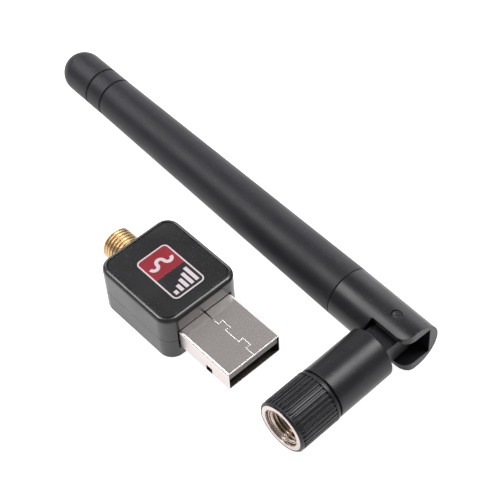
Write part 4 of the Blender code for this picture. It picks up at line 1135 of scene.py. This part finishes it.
# %% A ring of ribs
circle = node(ribs, "GeometryNodeMeshCircle", Vertices=given["Count"], Radius=given["Radius"]).outputs[0]
between = sums(ribs, "DIVIDE", 2 * math.pi, given["Count"])
heading = sums(ribs, "MULTIPLY", node(ribs, "GeometryNodeInputIndex").outputs[0], between)
facing = vector(ribs, Z=sums(ribs, "ADD", heading, math.pi / 2))
copies = node(
    ribs, "GeometryNodeInstanceOnPoints", Points=circle, Instance=rib, Rotation=facing
).outputs[0]
started = vector(ribs, Z=given["Turn"])
ring_of_ribs = node(ribs, "GeometryNodeTransform", Geometry=copies, Rotation=started).outputs[0]
both = node(ribs, "GeometryNodeJoinGeometry")
for source in (ring_of_ribs, given["Geometry"]):
    ribs.links.new(source, both.inputs[0])
ends_in(ribs, both.outputs[0], given["Plastic"], result["Geometry"])
print("made", ribs.name)

# %% Ribbed grip
section = drawn_mm([
    (4.15, 27.3), (4.6, 27.3), (4.6, 27.6, 0.03), (4.72, 27.65, 0.05), (5.07, 27.3, 0.1),
    (5.07, 27.1, 0.05), (4.74, 27.1), (4.74, 19.2), (5.1, 19.2, 0.06), (5.1, 18.6, 0.15),
    (2.66, 18.6), (2.66, 19.55), (4.15, 19.55),
])
grip = lathe("nut_ribbed_grip", section, steps=144)
run_tree(
    grip, ribs, Count=36, Radius=4.72 * MM, Half_Width=0.26 * MM, Rise=0.36 * MM, Rounding=0.12 * MM,
    Start=19.0 * MM, End=27.15 * MM, Taper=0.3 * MM, Turn=math.radians(4.0), Plastic=SATIN_PLASTIC,
)
grip.data.transform(BASE)
fitted(grip, "coupling_nut", "black_satin_plastic", SATIN_PLASTIC, "coupling_nut_grip")

# %% [markdown]
# The insert shows as a bright ring round the nut's mouth, with its thread in the bore. The
# thread runs out just inside a small groove at the mouth. The bore takes a painted shade,
# darker than the ring.

# %% Threaded insert
BORE = 3.225 * MM
THREAD_FOOT, THREAD_HEAD = 21.6 * MM, 27.1 * MM
section = drawn_mm([
    (3.3, 27.2, 0.04), (3.5, 27.2, 0.05), (3.5, 26.7), (3.72, 26.7), (3.72, 27.62, 0.06),
    (4.56, 27.62, 0.06), (4.56, 27.34), (4.1, 27.34), (4.1, 19.6), (2.66, 19.6), (2.66, 20.5),
    (BORE / MM, 20.5),
])
section = section[::-1] + thread_rows(BORE, THREAD_FOOT, THREAD_HEAD)
insert = lathe("nut_threaded_insert", section)
with_thread(insert, BORE, THREAD_FOOT, THREAD_HEAD - 0.05 * MM, THREAD_DEPTH, NICKEL_WITH_PAINTED_BORE_SHADE)
insert.data.transform(BASE)
fitted(insert, "coupling_nut", "nickel_plate", NICKEL_WITH_PAINTED_BORE_SHADE, "coupling_nut_insert", sharp=50)

# %% [markdown]
# Deep in the nut stands the antenna's own plug: a nickel barrel round a white insulator and a
# gilt socket for the jack's pin.

# %% Plug in the nut
section = drawn_mm([
    (1.8, 24.2, 0.06), (2.2, 24.2, 0.12), (2.2, 20.55), (2.6, 20.55, 0.05), (2.6, 11.05, 0.1),
    (1.0, 11.05), (1.0, 21.05), (1.8, 21.05),
])
fitted(lathe("plug_barrel", section, BASE), "antenna_base", "nickel_plate", NICKEL, "rf_plug_body")
section = drawn_mm([(0.95, 24.1, 0.08), (1.75, 24.1, 0.1), (1.75, 21.1), (0.95, 21.1)])
insulator = lathe("plug_insulator", section, BASE, 64)
fitted(insulator, "antenna_base", "white_insulator", INSULATOR, "rf_plug_insulator")
section = drawn_mm([(0.5, 24.0, 0.1), (0.9, 24.0, 0.08), (0.9, 21.1), (0.5, 21.1)])
fitted(lathe("plug_socket_contact", section, BASE, 48), "antenna_base", "gold_plate", GOLD, "rf_plug_contact")

# %% [markdown]
# ## The hidden parts
#
# The board, its components and the antenna's radiator are right as the engineering model has
# them. They keep their shapes and take finishes made for them.

# %% Finishes for the parts inside
INSIDE = {
    BOARD: ["circuit_board"],
    CHIP_EPOXY: ["wifi_chip", "memory_chip", "regulator"],
    CERAMIC: ["power_inductor", "capacitor_1", "capacitor_2", "capacitor_3", "antenna_filter"],
    STEEL: ["crystal", "retaining_ring"],
    INSULATOR: ["status_led", "sleeve_spacer", "tip_spacer"],
    SILICONE: ["plug_gasket"],
    CABLE_JACKET: ["base_coax", "whip_coax"],
    BRASS: ["radiator_sleeve", "radiator_wire"],
}
for material, names in INSIDE.items():
    for name in names:
        mesh = frame["nodes"][name].data
        mesh.materials.clear()
        mesh.materials.append(material)
print("parts kept inside:", sum(map(len, INSIDE.values())))

# %% [markdown]
# ## Floor, light and camera
#
# The product lies on a white sweep so bright that its shadows wash out. Glossy black shows
# mostly what it mirrors: the sides mirror that floor and look grey, the top mirrors a dimmer
# room and looks black. So the floor glows a little and the room is mid grey.

# %% White floor
HALF_FLOOR = 0.9
WHITE_SWEEP, tree, shader = new_finish("white_sweep", 0.9)
paper = effect(tree, grain, Grain_Size=1.5 * MM, Wave_Size=40 * MM)
fibres = spread(tree, paper.outputs["Grain"], 0.0, 1.0)
tree.links.new(mixed(tree, fibres, (0.42, 0.42, 0.42), (0.4, 0.4, 0.4)), shader.inputs["Base Color"])
shader.inputs["Emission Color"].default_value = (1.0, 1.0, 1.0, 1.0)
shader.inputs["Emission Strength"].default_value = 0.95
square = [(HALF_FLOOR * x, HALF_FLOOR * y) for x, y in ((-1, -1), (1, -1), (1, 1), (-1, 1))]
floor = prism("floor", square, -5 * MM, -0.02 * MM)
floor.data.materials.append(WHITE_SWEEP)
floor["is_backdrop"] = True
print("floor", 2 * HALF_FLOOR, "m across")

# %% [markdown]
# A round tube mirrors a whole cone of directions, so a small lamp misses it and a long strip
# does not. Two soft strips hang either side of the zenith and draw the long highlights on the
# tubes. The gap between them keeps the flat steel plug from mirroring a lamp straight up. A
# card behind lifts the edges, and a small one near the whip's tip lifts the rubber there.

# %% Room and lamps
world = bpy.data.worlds.new("room")
bpy.context.scene.world = world
world.use_nodes = True
world.node_tree.nodes["Background"].inputs["Color"].default_value = (0.4, 0.4, 0.405, 1.0)


def softbox(name, towards, distance, length, width, radiance, heading=0.0):
    """A soft lamp that hangs in this direction and faces the object, its long side at a heading."""
    light = bpy.data.lights.new(name, "AREA")
    light.shape = "RECTANGLE"
    light.size, light.size_y = length, width
    light.energy = radiance * math.pi * length * width
    obj = bpy.data.objects.new(name, light)
    towards = Vector(towards).normalized()
    obj.location = towards * distance
    level = Vector((math.cos(math.radians(heading)), math.sin(math.radians(heading)), 0.0))
    up = towards.cross(level).normalized()
    obj.rotation_euler = Matrix((up.cross(towards), up, towards)).transposed().to_euler()
    bpy.context.scene.collection.objects.link(obj)


softbox("right_strip", (0.53, -0.27, 1.0), 0.81, 0.54, 0.28, 12.5, heading=-38.0)
softbox("left_strip", (-0.51, 0.54, 1.0), 0.87, 0.5, 0.28, 12.5, heading=-38.0)
softbox("back_card", (0.8, 0.46, 0.38), 0.8, 0.6, 0.4, 2.6)
softbox("tip_card", (0.1, 1.0, 0.62), 0.17, 0.08, 0.05, 6.0)

# %% [markdown]
# The camera looks down on the product from a quarter of a metre away, through a long lens.
# Three turns aim it: its heading, how far it tips up from looking straight down, and its roll.

# %% Camera
CAMERA_AT = (-0.088644, -0.128734, 0.205791)
HEADING, TIP_UP, ROLL = (math.radians(angle) for angle in (-39.923, 39.140, -3.522))
aim = Matrix.Rotation(HEADING, 4, "Z") @ Matrix.Rotation(TIP_UP, 4, "X") @ Matrix.Rotation(ROLL, 4, "Z")
camera = bpy.data.objects.new("camera", bpy.data.cameras.new("camera"))
camera.matrix_world = Matrix.Translation(CAMERA_AT) @ aim
camera.data.sensor_width = 36.0
camera.data.lens = 102.72
camera.data.clip_start = 0.005
bpy.context.scene.collection.objects.link(camera)
bpy.context.scene.camera = camera
bpy.context.scene.view_settings.view_transform = "Standard"
print("camera", tuple(round(v, 4) for v in camera.location))

# %% [markdown]
# ## Measuring and finishing
#
# The visual model is meant to keep the engineering model's size, so both boxes are printed at
# the end.

# %% Both sizes
SEEN_BOX = [list(corner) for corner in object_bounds()]
for label, box in (("engineering", CAD_BOX), ("visual", SEEN_BOX)):
    print(label, "box in mm:", [round(1000 * (b - a), 2) for a, b in zip(*box)])
